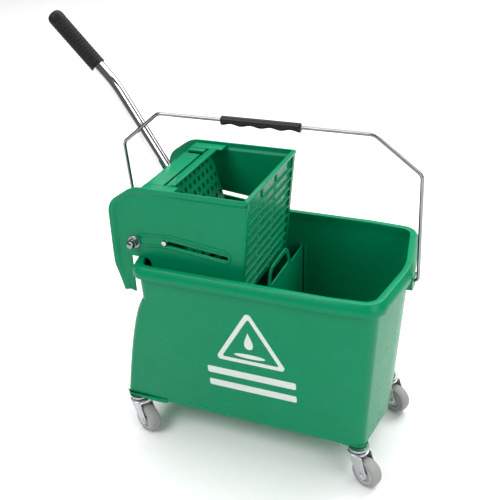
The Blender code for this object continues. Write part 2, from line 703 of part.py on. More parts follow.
def make_press_plate(parent):
    """The perforated plate, drawn upright about the rod and then leaned back."""
    face, back = PLATE_FACE, PLATE_FACE - PLATE_THICK
    top, foot = PLATE_TOP, -PLATE_FOOT
    section = [(face, foot), (face, top - 0.004), (face + PLATE_FLANGE, top - 0.004),
               (face + PLATE_FLANGE, top), (back, top), (back, 0.010), (0.004, 0.0075), (-0.0075, 0.004),
               (-0.0075, -0.004), (0.004, -0.0075), (back, -0.010), (back, foot)]
    plate = prism_xz("press_plate", section, -PLATE_HALF, PLATE_HALF, GREEN)
    bore = rod_y("plate_bore", (0, 0), ROD_DIAMETER / 2 + GAP, -0.1, 0.1)
    relief = boxes("plate_reliefs", [((-0.02, y0, -0.0105), (back - 0.0005, y1, 0.0105))
                                     for y0, y1 in ((-0.062, -0.008), (0.008, 0.062))])
    holes = []
    pitch = 0.0155
    for row in range(8):
        z = top - 0.018 - pitch * row
        if abs(z) < 0.0125:
            continue
        shift = pitch / 2 * (row % 2)
        for k in range(9):
            y = -0.066 + pitch * k + shift
            if y < 0.070:
                holes.append((y, z))
    bm = bmesh.new()
    for y, z in holes:
        outline = circle((y, z), 0.0032, 6)
        loft(bm, [[(x, py, pz) for py, pz in outline] for x in (back - 0.01, face + 0.01)])
    perforation = from_bmesh("plate_holes", bm, smooth=False)
    place(plate, parent, ROD, (0, -PLATE_LEAN, 0))
    for cutter in (bore, relief, perforation):
        cut(plate, cutter)
        place(cutter, parent, ROD, (0, -PLATE_LEAN, 0))
    return plate


# ---------------------------------------------------------------- bail
def make_bail(parent):
    """The wire: in through a lug, up a leg, over a sloping shoulder, along the top and down again.
    It is drawn upright about its pivot line and then leaned."""
    leg = PIVOT_X
    inner = {1: RIGHT_CORNER[1] + RIGHT_BOW[1] + 0.0015, -1: -LEFT_CORNER[1] + LEFT_BOW[1] + 0.0015}
    corners = [(inner[1], 0, 0.0), (leg, 0, 0.007), (leg, BAIL_SHOULDER, 0.012),
               (BAIL_TOP_HALF, BAIL_TOP, 0.014), (-BAIL_TOP_HALF, BAIL_TOP, 0.014),
               (-leg, BAIL_SHOULDER, 0.012), (-leg, 0, 0.007), (-inner[-1], 0, 0.0)]
    points = []
    for i, (x, z, radius) in enumerate(corners):
        here = Vector((x, 0, z))
        if radius == 0:
            points.append(here)
            continue
        before = (Vector((corners[i - 1][0], 0, corners[i - 1][1])) - here).normalized()
        after = (Vector((corners[i + 1][0], 0, corners[i + 1][1])) - here).normalized()
        reach = radius
        for step in range(5):
            share = step / 4
            points.append((here + before * reach) * (1 - share) ** 2 + here * 2 * share * (1 - share)
                          + (here + after * reach) * share ** 2)
    curve = bpy.data.curves.new("bail_wire", "CURVE")
    curve.dimensions = "3D"
    curve.bevel_depth = BAIL_WIRE / 2
    curve.bevel_resolution = 2
    curve.use_fill_caps = True
    spline = curve.splines.new("POLY")
    spline.points.add(len(points) - 1)
    for target, point in zip(spline.points, points):
        target.co = (*point, 1)
    curve.materials.append(STEEL)
    wire = bpy.data.objects.new("bail_wire", curve)
    bpy.context.collection.objects.link(wire)
    place(wire, parent, (0, 0, PIVOT_Z), (BAIL_LEAN, 0, 0))
    return wire


def make_bail_grip(parent):
    """A moulded hand grip on the top bar, with finger hollows on its underside."""
    bm = bmesh.new()
    steps, sides = 24, 12
    bore = BAIL_WIRE / 2 + GAP
    outer, inner = [], []
    for i in range(steps + 1):
        x = -GRIP_HALF + 2 * GRIP_HALF * i / steps
        end = 0.86 if i in (0, steps) else 1.0
        bumps = 0.0012 * math.cos(2 * math.pi * 4 * i / steps)
        ring = []
        for k in range(sides):
            angle = 2 * math.pi * k / sides
            up = math.sin(angle)
            radius = (0.0068 + (bumps if up < -0.1 else 0.0)) * end
            ring.append((x, radius * 0.92 * math.cos(angle), radius * up))
        outer.append(ring)
    for x in (GRIP_HALF, -GRIP_HALF):
        inner.append([(x, y, z) for y, z in circle((0, 0), bore, sides)])
    rows = [[bm.verts.new(p) for p in ring] for ring in outer + inner]
    for low, high in zip(rows, rows[1:] + rows[:1]):
        for i in range(sides):
            j = (i + 1) % sides
            bm.faces.new((low[i], low[j], high[j], high[i]))
    bmesh.ops.translate(bm, verts=bm.verts, vec=(0, 0, BAIL_TOP))
    grip = from_bmesh("bail_grip", bm, RUBBER)
    return place(grip, parent, (0, 0, PIVOT_Z), (BAIL_LEAN, 0, 0))


# ---------------------------------------------------------------- casters
def make_caster(name, at, parent):
    swivel = empty(f"swivel_{name}", parent, (at[0], at[1], 0), (0, 0, CASTER_YAW))
    stem = [(0, 0.0545), (0.0070, 0.0545), (0.0070, 0.0568), (0.0040, 0.0569), (0.0040, 0.0612),
            (0.0105, 0.0613), (0.0135, 0.0640), (0.0150, 0.0665), (0.0160, 0.0667),
            (0.0160, BASE_Z - GAP), (0, BASE_Z - GAP)]
    place(turned(f"caster_stem_{name}", stem, ZINC, 20), swivel)
    make_fork(f"caster_fork_{name}", swivel)
    axle = (TRAIL, 0, WHEEL_RADIUS)
    r, w = WHEEL_RADIUS, WHEEL_HALF
    tyre = [(0.0172, -w), (r - 0.004, -w), (r - 0.0012, -w + 0.0022), (r, -0.004), (r, 0.004),
            (r - 0.0012, w - 0.0022), (r - 0.004, w), (0.0172, w)]
    place(turned(f"caster_tyre_{name}", tyre, TYRE, 28, "y"), swivel, axle)
    hub = [(0.0033, -w - 0.0008), (0.0060, -w - 0.0008), (0.0065, -w + 0.002), (0.0140, -w + 0.002),
           (0.0150, -w + 0.0002), (0.0172 - GAP, -w + 0.0002), (0.0172 - GAP, w - 0.0002),
           (0.0150, w - 0.0002), (0.0140, w - 0.002), (0.0065, w - 0.002),
           (0.0060, w + 0.0008), (0.0033, w + 0.0008)]
    place(turned(f"caster_hub_{name}", hub, HUB, 20, "y"), swivel, axle)
    half = FORK_OUT + GAP
    pin = [(0, -half - 0.0018), (0.0036, -half - 0.0018), (0.0046, -half), (0.0030, -half + 0.0001),
           (0.0030, half - 0.0001), (0.0046, half), (0.0036, half + 0.0018), (0, half + 0.0018)]
    place(turned(f"caster_axle_{name}", pin, ZINC, 12, "y"), swivel, axle)


def make_fork(name, swivel):
    """A pressed fork: a round crown with a hole for the stem and two legs down to the axle."""
    crown = turned(name, [(0.0043, 0.0577), (0.0155, 0.0577), (0.0165, 0.0585), (0.0165, 0.0597),
                          (0.0155, FORK_TOP_Z), (0.0043, FORK_TOP_Z)], ZINC, 24)
    place(crown, swivel)
    leg = [(-0.0145, 0.0595), (0.0150, 0.0595), (TRAIL + 0.0085, WHEEL_RADIUS + 0.004),
           (TRAIL + 0.005, WHEEL_RADIUS - 0.0075), (TRAIL - 0.005, WHEEL_RADIUS - 0.0075)]
    outline = rounded(leg, [0, 0, 0.008, 0.006, 0.006])
    for side in (-1, 1):
        y0, y1 = sorted((side * FORK_IN, side * FORK_OUT))
        add(crown, prism_xz(f"{name}_leg{side}", outline, y0, y1))
    cut(crown, rod_y(f"{name}_bore", (TRAIL, WHEEL_RADIUS), 0.0030 + GAP, -0.02, 0.02, 12))
    return crown


# ---------------------------------------------------------------- assembly
def build():
    frame = empty("bucket_frame", None, (FRAME_SHIFT, 0, 0))
    make_tub(frame)
    make_divider(frame)
    make_housing(frame)
    make_guide_rod(frame)
    make_cheek("cam_cheek_near", -CHEEK_OUT, -CHEEK_IN, frame)
    make_cheek("cam_cheek_far", CHEEK_IN, CHEEK_OUT, frame)
    make_press_plate(frame)
    make_yoke(frame)
    make_tube(frame)
    make_lever_grip(frame)
    make_clamp_bolt(frame)
    make_cam_pin("cam_pin_near", -1, frame)
    make_cam_pin("cam_pin_far", 1, frame)
    make_axle(frame)
    make_axle_end(-1, "near", frame)
    make_axle_end(1, "far", frame)
    make_bail(frame)
    make_bail_grip(frame)
    for name, at in CASTERS.items():
        make_caster(name, at, frame)


build()
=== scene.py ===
"""The looks of a wheeled mop bucket with a lever wringer.

Lengths are metres. The bucket's own frame has X = 0 halfway between the bail's pivots, so every
surface is worked out there and moved by SHIFT when it is put into its mesh.
"""
import math

import bmesh
import bpy
import numpy as np
from mathutils import Matrix, Vector


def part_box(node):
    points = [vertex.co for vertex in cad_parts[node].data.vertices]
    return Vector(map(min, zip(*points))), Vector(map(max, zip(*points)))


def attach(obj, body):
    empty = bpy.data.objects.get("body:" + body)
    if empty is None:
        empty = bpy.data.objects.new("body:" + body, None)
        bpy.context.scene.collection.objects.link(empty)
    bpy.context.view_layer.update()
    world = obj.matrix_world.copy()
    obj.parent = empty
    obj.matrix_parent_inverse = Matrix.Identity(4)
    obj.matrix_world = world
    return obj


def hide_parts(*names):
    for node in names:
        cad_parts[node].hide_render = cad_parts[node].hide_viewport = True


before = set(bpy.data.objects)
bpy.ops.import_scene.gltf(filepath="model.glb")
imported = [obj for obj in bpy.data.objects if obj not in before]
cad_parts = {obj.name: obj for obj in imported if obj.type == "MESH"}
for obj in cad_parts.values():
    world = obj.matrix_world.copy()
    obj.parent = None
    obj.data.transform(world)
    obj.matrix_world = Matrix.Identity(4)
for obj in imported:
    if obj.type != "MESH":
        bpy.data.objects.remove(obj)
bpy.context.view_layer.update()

bail_low, bail_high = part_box("bail_wire")
SHIFT = np.array([(bail_low.x + bail_high.x) / 2, 0.0, 0.0])
TURN = 2 * math.pi

# ---- sizes, in the bucket's frame
# A pair is the value at the base and the value at the top of the wall.
BASE_Z, WALL_TOP_Z, RIM_Z = 0.07, 0.332, 0.35
WALL = 0.003
HALF_WIDTH = (0.105, 0.126)
RIGHT_CORNER = (0.186, 0.203)
RIGHT_BOW = (0.014, 0.019)
LEFT_CORNER = (-0.176, -0.171)
LEFT_BOW = (0.012, 0.031)
END_RIGHT, END_LEFT = RIGHT_CORNER[1] + RIGHT_BOW[1], -LEFT_CORNER[1] + LEFT_BOW[1]
END_RADIUS = 0.16  # of the rounding at the middle of a bowed end
CORNER_RADIUS = (0.013, 0.024)
TIGHT_BELOW, TIGHT_ABOVE = 0.55, 0.8  # the wringer end's corners against the others, wall and lip
MOST_TIGHTENED = 0.006  # how much the inside's corners are tightened at most
CREASE_X = (0.176, 0.134)  # where the long sides start to draw in towards the open end
CREASE_DRAW = 0.0052  # how far they have drawn in there at the top
FLARE, FLARE_TOP_Z, FLARE_CURVE = 0.058, 0.283, 0.65  # the swell under the wringer
CUT_PAST = 0.01  # how far a cutter reaches past the wall that it cuts

PIVOT_X, PIVOT_Z = 0.236, 0.326
BAIL_WIRE = 0.0055
BAIL_LEAN = math.radians(5)
BAIL_SHOULDER, BAIL_TOP, BAIL_TOP_HALF = 0.178, 0.233, 0.168
BAIL_GRIP_HALF = 0.062

PANEL_OUT, PANEL_IN, PANEL_SKIN = 0.104, 0.0975, 0.1005
HEAD_Z, GRID_Z = 0.471, 0.292  # the wringer's head rail and the underside of its drain grid
FRONT_TOP_X, FRONT_SLOPE = 0.006, 15 / 136
BAND = 0.0125
RIB_PITCH, RIB_COUNT = 0.017, 9
HOLE_COLUMNS = (-0.036, 0.022, 0.08)

AXLE = np.array([-0.186, 0, 0.376])
ROD = np.array([-0.133, 0, 0.382])
SLOT_END = np.array([-0.032, 0, 0.371])
PLATE_LEAN = math.radians(13)
PLATE_FACE, PLATE_TOP, PLATE_FOOT, PLATE_HALF = 0.0214, 0.083, 0.064, 0.077
YOKE_HALF = 0.077
TUBE_AT = np.array([-0.177, 0, 0.467])
TUBE_LEAN, TUBE_BEND_LEAN = math.radians(30.7), math.radians(42.4)
TUBE_BOTTOM_Z, TUBE_BEND_Z = 0.407, 0.592
LEVER_TIP = np.array([-0.343, 0, 0.692])
GRIP_LENGTH, GRIP_RADIUS, TUBE_RADIUS = 0.104, 0.01275, 0.01

DIVIDER_X, DIVIDER_TOP_Z, DIVIDER_HANDLE_Z, DIVIDER_HANDLE_HALF = 0.0135, 0.293, 0.33, 0.052

CASTERS = {"near_right": (0.177, -0.097), "far_right": (0.177, 0.097),
    "near_left": (-0.217, -0.096), "far_left": (-0.217, 0.096)}
CASTER_YAW, TRAIL, WHEEL_RADIUS = math.radians(-24), 0.018, 0.025


# ---- materials
def linear(code):
    """An sRGB hex colour as linear red, green, blue and alpha."""
    parts = np.array([int(code[i:i + 2], 16) for i in (1, 3, 5)]) / 255
    parts = np.where(parts <= 0.04045, parts / 12.92, ((parts + 0.055) / 1.055) ** 2.4)
    return (*parts, 1.0)


def add(tree, kind, settings=None, links=None):
    """Adds a node. A setting goes to the property of that name, or else to that input."""
    made = tree.nodes.new(kind)
    for name, value in (settings or {}).items():
        if isinstance(name, str) and hasattr(made, name):
            setattr(made, name, value)
        else:
            made.inputs[name].default_value = value
    for name, output in (links or {}).items():
        tree.links.new(output, made.inputs[name])
    return made


def base_material(name, **sockets):
    """A Principled material with these values on its own sockets, and its object coordinates."""
    made = bpy.data.materials.new(name)
    made.use_nodes = True
    tree = made.node_tree
    shader = tree.nodes["Principled BSDF"]
    for socket, value in sockets.items():
        shader.inputs[socket.replace("_", " ")].default_value = value
    place = add(tree, "ShaderNodeTexCoord").outputs["Object"]
    return made, tree, shader, place


def two_tone(tree, shader, factor, low, high):
    """Base colour that wanders between two close tones."""
    settings = {"data_type": "RGBA", 6: linear(low), 7: linear(high)}
    blend = add(tree, "ShaderNodeMix", settings, {0: factor})
    tree.links.new(blend.outputs[2], shader.inputs["Base Color"])


def noise(tree, place, millimetres, detail=2.0):
    """Noise whose features are about this many millimetres across."""
    return add(tree, "ShaderNodeTexNoise", {"Scale": 1000 / millimetres, "Detail": detail},
        {"Vector": place}).outputs["Fac"]


def material(name, tones, clouds, rough, blotches, *layers, **sockets):
    """A material whose colour wanders between two tones and whose roughness wanders between two
    values, each over noise of (millimetres, detail), with layers of bumps on top of one another, of
    (millimetres, detail, strength, distance in metres)."""
    made, tree, shader, place = base_material(name, **sockets)
    two_tone(tree, shader, noise(tree, place, *clouds), *tones)
    span = add(tree, "ShaderNodeMapRange", {"To Min": rough[0], "To Max": rough[1]},
        {"Value": noise(tree, place, *blotches)})
    tree.links.new(span.outputs["Result"], shader.inputs["Roughness"])
    below = {}
    for millimetres, detail, strength, distance in layers:
        links = {"Height": noise(tree, place, millimetres, detail), **below}
        settings = {"Strength": strength, "Distance": distance}
        below = {"Normal": add(tree, "ShaderNodeBump", settings, links).outputs[0]}
    tree.links.new(below["Normal"], shader.inputs["Normal"])
    return made


def polypropylene(name, low, high, rough=(0.24, 0.34)):
    """Injection-moulded polypropylene, glossy: an even dyed green with faint flow clouds 60 mm
    across, slow sink waves 35 mm across that bend its reflections, and a fine moulded skin."""
    return material(name, (low, high), (60, 3), rough, (14, 1), (35, 1, 0.1, 0.001),
        (2.5, 1, 0.02, 0.00004), IOR=1.49, Specular_IOR_Level=0.15)


def chrome(name, low, high, rough):
    """Chrome-plated steel, polished before plating: a mirror with very faint polishing waves."""
    return material(name, (low, high), (25, 2), (rough * 0.7, rough * 1.4), (6, 4), (9, 2, 0.03, 0.0003),
        Metallic=1.0)


def rubber(name, low, high, rough, grain=0.5):
    """Moulded rubber: a dull skin with a fine spark-eroded grain from its mould."""
    return material(name, (low, high), (7, 4), (rough - 0.07, rough + 0.07), (3, 3),
        (grain, 2, 0.35, 0.00012), IOR=1.52, Specular_IOR_Level=0.22)


GREEN = polypropylene("moulded_green_polypropylene", "#007b51", "#00845a")
DEEP_GREEN = polypropylene("moulded_green_polypropylene_matt", "#00764b", "#007e53", (0.34, 0.46))
TUBE_CHROME = chrome("polished_chrome_plated_steel", "#c6c6cb", "#dededf", 0.09)
WIRE_CHROME = chrome("bright_drawn_steel_wire", "#7d7d82", "#98989c", 0.2)
# Soft grey metal with a cloudy passivated film and fine tumbling marks 0.5 mm across.
ZINC = material("bright_zinc_plated_pressed_steel", ("#a9abb0", "#d6d8da"), (4, 4), (0.24, 0.42), (2, 3),
    (0.5, 2, 0.15, 0.00005), Metallic=1.0)
BLACK_RUBBER = rubber("moulded_black_rubber", "#0b0b0c", "#151416", 0.52)
BLACK_PLASTIC = rubber("moulded_black_grip_plastic", "#161517", "#1f1e20", 0.36, 0.8)
TYRE_RUBBER = rubber("moulded_grey_tyre_rubber", "#8b8b89", "#a1a19f", 0.55)
HUB_PLASTIC = rubber("moulded_grey_polypropylene", "#a5a7a9", "#b6b8ba", 0.42, 0.9)
# Matt, with the screen's faint unevenness.
WHITE_INK = material("screen_printed_white_ink", ("#c4cfca", "#d6deda"), (1.2, 3), (0.42, 0.55), (2, 2),
    (0.7, 2, 0.1, 0.00004), IOR=1.5)


# ---- surfaces
def quads(rows, columns, wrap_rows):
    """The quads of a grid of points whose columns join round, and whose rows do where they wrap."""
    r, c = np.meshgrid(np.arange(rows if wrap_rows else rows - 1), np.arange(columns), indexing="ij")
    r2, c2 = (r + 1) % rows, (c + 1) % columns
    corners = [r * columns + c, r * columns + c2, r2 * columns + c2, r2 * columns + c]
    return np.stack(corners, -1).reshape(-1, 4)


def unit(vector):
    return np.asarray(vector, float) / np.linalg.norm(vector)


def placed(name, data):
    """An object with this data, put in the scene."""
    made = bpy.data.objects.new(name, data)
    bpy.context.scene.collection.objects.link(made)
    return made


def solid(name, surfaces):
    """One mesh from grids of points. A grid of rows is closed by joining its last row to its first
    when it wraps, or by a flat end on each side when it doesn't."""
    verts, faces, start = [], [], 0
    for points, wraps in surfaces:
        rows, columns = points.shape[:2]
        verts.append(points.reshape(-1, 3))
        faces += (quads(rows, columns, wraps) + start).tolist()
        if not wraps:
            ends = np.arange(columns) + start
            faces += [ends[::-1].tolist(), (ends + (rows - 1) * columns).tolist()]
        start += rows * columns
    mesh = bpy.data.meshes.new(name)
    mesh.from_pydata((np.concatenate(verts) + SHIFT).tolist(), [], faces)
    bm = bmesh.new()
    bm.from_mesh(mesh)
    bmesh.ops.remove_doubles(bm, verts=bm.verts, dist=1e-6)
    bmesh.ops.dissolve_degenerate(bm, edges=bm.edges, dist=1e-7)
    bmesh.ops.recalc_face_normals(bm, faces=bm.faces)
    bm.to_mesh(mesh)
    bm.free()
    return placed(name, mesh)


def carve(obj, *cutters):
    """Cuts the cutters' shapes out of a piece for good."""
    for cutter in cutters:
        modifier = obj.modifiers.new("carve", "BOOLEAN")
        modifier.operation, modifier.solver, modifier.object = "DIFFERENCE", "EXACT", cutter
    graph = bpy.context.evaluated_depsgraph_get()
    result = bpy.data.meshes.new_from_object(obj.evaluated_get(graph))
    obj.modifiers.clear()
    obj.data = result
    for cutter in cutters:
        bpy.data.objects.remove(cutter)
    return obj


def soften(obj, width):
    """Rounds the edges that a tool would leave rounded."""
    modifier = obj.modifiers.new("softened_edges", "BEVEL")
    modifier.width, modifier.segments = width, 2
    modifier.limit_method, modifier.angle_limit = "ANGLE", math.radians(28)
    return obj


def dress(obj, finish, body, replaced=(), sharp=32):
    """Gives a piece its material, smooth shading and body."""
    obj.data.materials.clear()
    obj.data.materials.append(finish)
    obj.data.shade_smooth()
    obj.data.set_sharp_from_angle(angle=math.radians(sharp))
    if replaced:
        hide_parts(*replaced)
    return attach(obj, body)


def moulded(obj, body, node, sharp=32, finish=GREEN):
    """Dresses a piece of the green plastic, which stands for one node of the frame."""
    return dress(obj, finish, body, [node], sharp)


def oval(centre, half_wide, half_high, count):
    """A flat oval outline."""
    angle = np.linspace(0, TURN, count, endpoint=False)
    return np.stack([centre[0] + half_wide * np.cos(angle), centre[1] + half_high * np.sin(angle)], -1)


def fillet(points, radii, steps=6):
    """A closed outline with its corners replaced by arcs of these radii."""
    outline = []
    points = np.asarray(points, float)
    for i, point in enumerate(points):
        before, after = unit(points[i - 1] - point), unit(points[(i + 1) % len(points)] - point)
        radius = radii[i]
        if radius <= 0:
            outline.append(point[None])
            continue
        half = math.acos(np.clip(before @ after, -1, 1)) / 2
        centre = point + unit(before + after) * radius / math.sin(half)
        arm = point + before * radius / math.tan(half) - centre
        turn = math.copysign(math.pi - 2 * half, before[1] * after[0] - before[0] * after[1])
        angle = turn * np.linspace(0, 1, steps + 1)
        cos, sin = np.cos(angle), np.sin(angle)
        arc = np.stack([arm[0] * cos - arm[1] * sin, arm[0] * sin + arm[1] * cos], -1)
        outline.append(centre + arc)
    return np.concatenate(outline)


def inset(outline, distance):
    """The outline moved inwards along the average of each point's two edge normals."""
    before = outline - np.roll(outline, 1, 0)
    after = np.roll(outline, -1, 0) - outline
    normals = []
    for edge in (before, after):
        length = np.linalg.norm(edge, axis=1, keepdims=True)
        normals.append(np.stack([-edge[:, 1], edge[:, 0]], -1) / np.maximum(length, 1e-9))
    mean = normals[0] + normals[1]
    mean /= np.maximum(np.linalg.norm(mean, axis=1, keepdims=True), 1e-9)
    stretch = 1 / np.maximum((mean * normals[0]).sum(1, keepdims=True), 0.5)
    (x, y), (x2, y2) = outline.T, np.roll(outline, -1, 0).T
    area = (x * y2 - y * x2).sum()
    return outline + mean * stretch * distance * np.sign(area)


def lay(outline, depth, plane):
    """A flat outline as points in space: plane xz, xy or yz, at this depth along the third axis."""
    depth = np.broadcast_to(depth, len(outline))
    order = {"xz": (0, 2, 1), "xy": (0, 1, 2), "yz": (1, 2, 0)}[plane]
    points = np.empty((len(outline), 3))
    points[:, order[0]], points[:, order[1]], points[:, order[2]] = outline[:, 0], outline[:, 1], depth
    return points


def slab(outline, low, high, plane, edge=0.0, steps=3):
    """An outline carried from low to high, with quarter-round edges: at a turn of t the edge is drawn
    in by edge (1 - sin t) and has risen by edge (1 - cos t)."""
    outline = np.asarray(outline, float)
    if edge <= 0:
        return np.stack([lay(outline, low, plane), lay(outline, high, plane)]), False
    turn = np.linspace(0, math.pi / 2, steps + 1)
    draw, rise = edge * (1 - np.sin(turn)), edge * (1 - np.cos(turn))
    rows = [lay(inset(outline, d), low + r, plane) for d, r in zip(draw, rise)]
    rows += [lay(inset(outline, d), high - r, plane) for d, r in zip(draw[::-1], rise[::-1])]
    return np.stack(rows), False


def block(low, high, edge=0.0):
    """A box between two corners, with quarter-round edges at its top and bottom."""
    x0, y0, z0 = low
    x1, y1, z1 = high
    return slab([(x0, y0), (x1, y0), (x1, y1), (x0, y1)], z0, z1, "xy", edge)


def turned(profile, centre=(0, 0, 0), axis=(0, 0, 1), sides=64, lobes=None):
    """A profile of (radius, height) turned about an axis. Lobes, if given, scales each row's radius
    by a function of the angle."""
    profile = np.asarray(profile, float)
    axis = unit(axis)
    side = unit(np.cross(axis, (0.3, 0.2, 1.0) if abs(axis[2]) < 0.9 else (1.0, 0, 0)))
    other = np.cross(axis, side)
    angle = np.arange(sides) * TURN / sides
    radius = np.repeat(profile[:, :1], sides, 1)
    if lobes is not None:
        radius = lobes(radius, angle[None, :], profile[:, 1:])
    ring = np.cos(angle)[:, None] * side + np.sin(angle)[:, None] * other
    points = np.asarray(centre) + profile[:, 1, None, None] * axis + radius[..., None] * ring
    return points, bool(profile[0, 0] > 0)


def swept(path, radius, sides):
    """A round section carried along a path in the xz plane. Its ring is made of that plane's normal
    and of the direction square to that and to the path."""
    way = np.gradient(path, axis=0)
    way /= np.linalg.norm(way, axis=1, keepdims=True)
    across = np.array([0.0, 1.0, 0.0])
    other = np.cross(way, across)
    angle = np.arange(sides) * TURN / sides
    ring = np.cos(angle)[None, :, None] * across + np.sin(angle)[None, :, None] * other[:, None, :]
    return path[:, None, :] + radius * ring, False


def bent_line(points, radii, steps=8):
    """An open line through the points whose inner corners are arcs."""
    points = [np.asarray(p, float) for p in points]
    line = [points[0][None]]
    for i in range(1, len(points) - 1):
        before, after = unit(points[i - 1] - points[i]), unit(points[i + 1] - points[i])
        half = math.acos(np.clip(before @ after, -1, 1)) / 2
        reach = radii[i] / math.tan(half)
        centre = points[i] + unit(before + after) * radii[i] / math.sin(half)
        first, last = points[i] + before * reach - centre, points[i] + after * reach - centre
        sweep = math.acos(np.clip(unit(first) @ unit(last), -1, 1))
        share = np.linspace(0, 1, steps + 1)[:, None]
        arc = (np.sin((1 - share) * sweep) * first + np.sin(share * sweep) * last) / math.sin(sweep)
        line.append(centre + arc)
    line.append(points[-1][None])
    return np.concatenate(line)


def densified(line, spacing):
    """The same line with points no further apart than the spacing."""
    parts = []
    for a, b in zip(line[:-1], line[1:]):
        count = max(1, int(math.ceil(np.linalg.norm(b - a) / spacing)))
        parts.append(a + (b - a) * (np.arange(count) / count)[:, None])
    return np.concatenate(parts + [line[-1:]])


def mix(pair, share):
    """The value at this share of the way from the first of a pair to the second."""
    return pair[0] + (pair[1] - pair[0]) * share


# ---- bucket
# The tub's edges, as rows of (how far out of the wall, how far above or below a level).
FOOT_EDGE = ((-0.0034, 0), (-0.001, 0.0006), (0, 0.003))
LIP_UNDER = ((0.0, 0.004), (0.0006, 0.0022), (0.0028, 0.0016), (0.0078, 0.0018), (0.0089, 0.001),
    (0.0092, -0.001))
LIP_OVER = ((0.0092, 0.0105), (0.0086, 0.0085), (0.0046, 0.0016), (0.0036, 0.0004), (0.0024, 0),
    (-0.004, 0), (-0.0049, 0.0004), (-0.0053, 0.0014), (-0.005, 0.006), (-0.0036, 0.011))
FLOOR_EDGE = ((0.0008, 0.0075), (0.003, 0.0055), (0.006, 0.005))
FLOOR = 0.005  # the base's thickness
LUG_FOOT_HALF, LUG_HEAD_HALF, LUG_DROP, LUG_INSIDE, LUG_PROUD = 0.0115, 0.015, 0.013, 0.006, 0.0085
LEDGE_X, LEDGE_Y, LEDGE_FOOT_Z = (-0.12, -0.04), (0.1, 0.1186), 0.262
CHANNEL_OFFSETS, CHANNEL_RIB = (-0.0055, 0.0035), 0.002
CHANNEL = ((0.0985, 0.0745), (0.1042, 0.0745), (0.1222, DIVIDER_TOP_Z), (0.1125, DIVIDER_TOP_Z))
# A pad over a caster: its corners on the far side, their radii, and its height.
PADS = ((((-0.2345, 0.1035), (-0.23, 0.1065), (-0.177, 0.1095), (-0.159, 0.1085), (-0.1545, 0.1035)),
    (0.001, 0.008, 0.01, 0.004, 0.001), 0.008),
    (((0.15, 0.098), (0.153, 0.1062), (0.18, 0.1058), (0.1895, 0.0985), (0.1905, 0.086),
    (0.17, 0.083)), (0.002, 0.004, 0.008, 0.008, 0.002, 0.004), 0.0042))


def wall_share(z):
    """How far up the wall a height is, from 0 at the base to 1 at the top."""
    return (z - BASE_Z) / (WALL_TOP_Z - BASE_Z)


def tub_ring(z, out, height):
    """The bucket's outline read at z, moved out by a distance and laid at a height: long sides that
    draw in past a crease, bowed ends, rounded corners, and a base that swells out under the wringer."""
    share = wall_share(z)
    width = mix(HALF_WIDTH, share) + out
    right = mix(RIGHT_CORNER, share) + out
    swell = max(0.0, 1 - (z - BASE_Z) / (FLARE_TOP_Z - BASE_Z)) ** FLARE_CURVE
    left = mix(LEFT_CORNER, share) - out - FLARE * swell
    corner = mix(CORNER_RADIUS, share) + max(out, -MOST_TIGHTENED)
    crease = mix(CREASE_X, share)
    drawn = CREASE_DRAW * share
    bow_left, bow_right = mix(LEFT_BOW, share), mix(RIGHT_BOW, share)
    points = [(left, -width), (crease, -width), (right, -width + drawn), (right + bow_right, 0),
        (right, width - drawn), (crease, width), (left, width), (left - bow_left, 0)]
    tight = corner * (TIGHT_BELOW if height < WALL_TOP_Z - 0.003 else TIGHT_ABOVE)
    radii = [tight, 0, corner, END_RADIUS, corner, 0, tight, END_RADIUS]
    return lay(fillet(points, radii, 10), height, "xy")


def tub_surface():
    """Rings up the outside, round the lip, down the inside and in across the floor."""
    under_swell = FLARE_TOP_Z - np.array([0.0004, 0.0015, 0.0035])
    outside = np.append(np.linspace(BASE_Z + 0.006, WALL_TOP_Z - 0.012, 34), under_swell)
    rows = [(BASE_Z, out, BASE_Z + above) for out, above in FOOT_EDGE]
    rows += [(z, 0, z) for z in np.sort(outside)]
    rows += [(WALL_TOP_Z, out, WALL_TOP_Z - below) for out, below in LIP_UNDER]
    rows += [(WALL_TOP_Z, out, RIM_Z - below) for out, below in LIP_OVER]
    rows += [(z, -WALL, z) for z in np.linspace(WALL_TOP_Z - 0.002, BASE_Z + 0.012, 26)]
    rows += [(BASE_Z + FLOOR, -WALL - inwards, BASE_Z + above) for inwards, above in FLOOR_EDGE]
    return np.stack([tub_ring(*row) for row in rows]), False


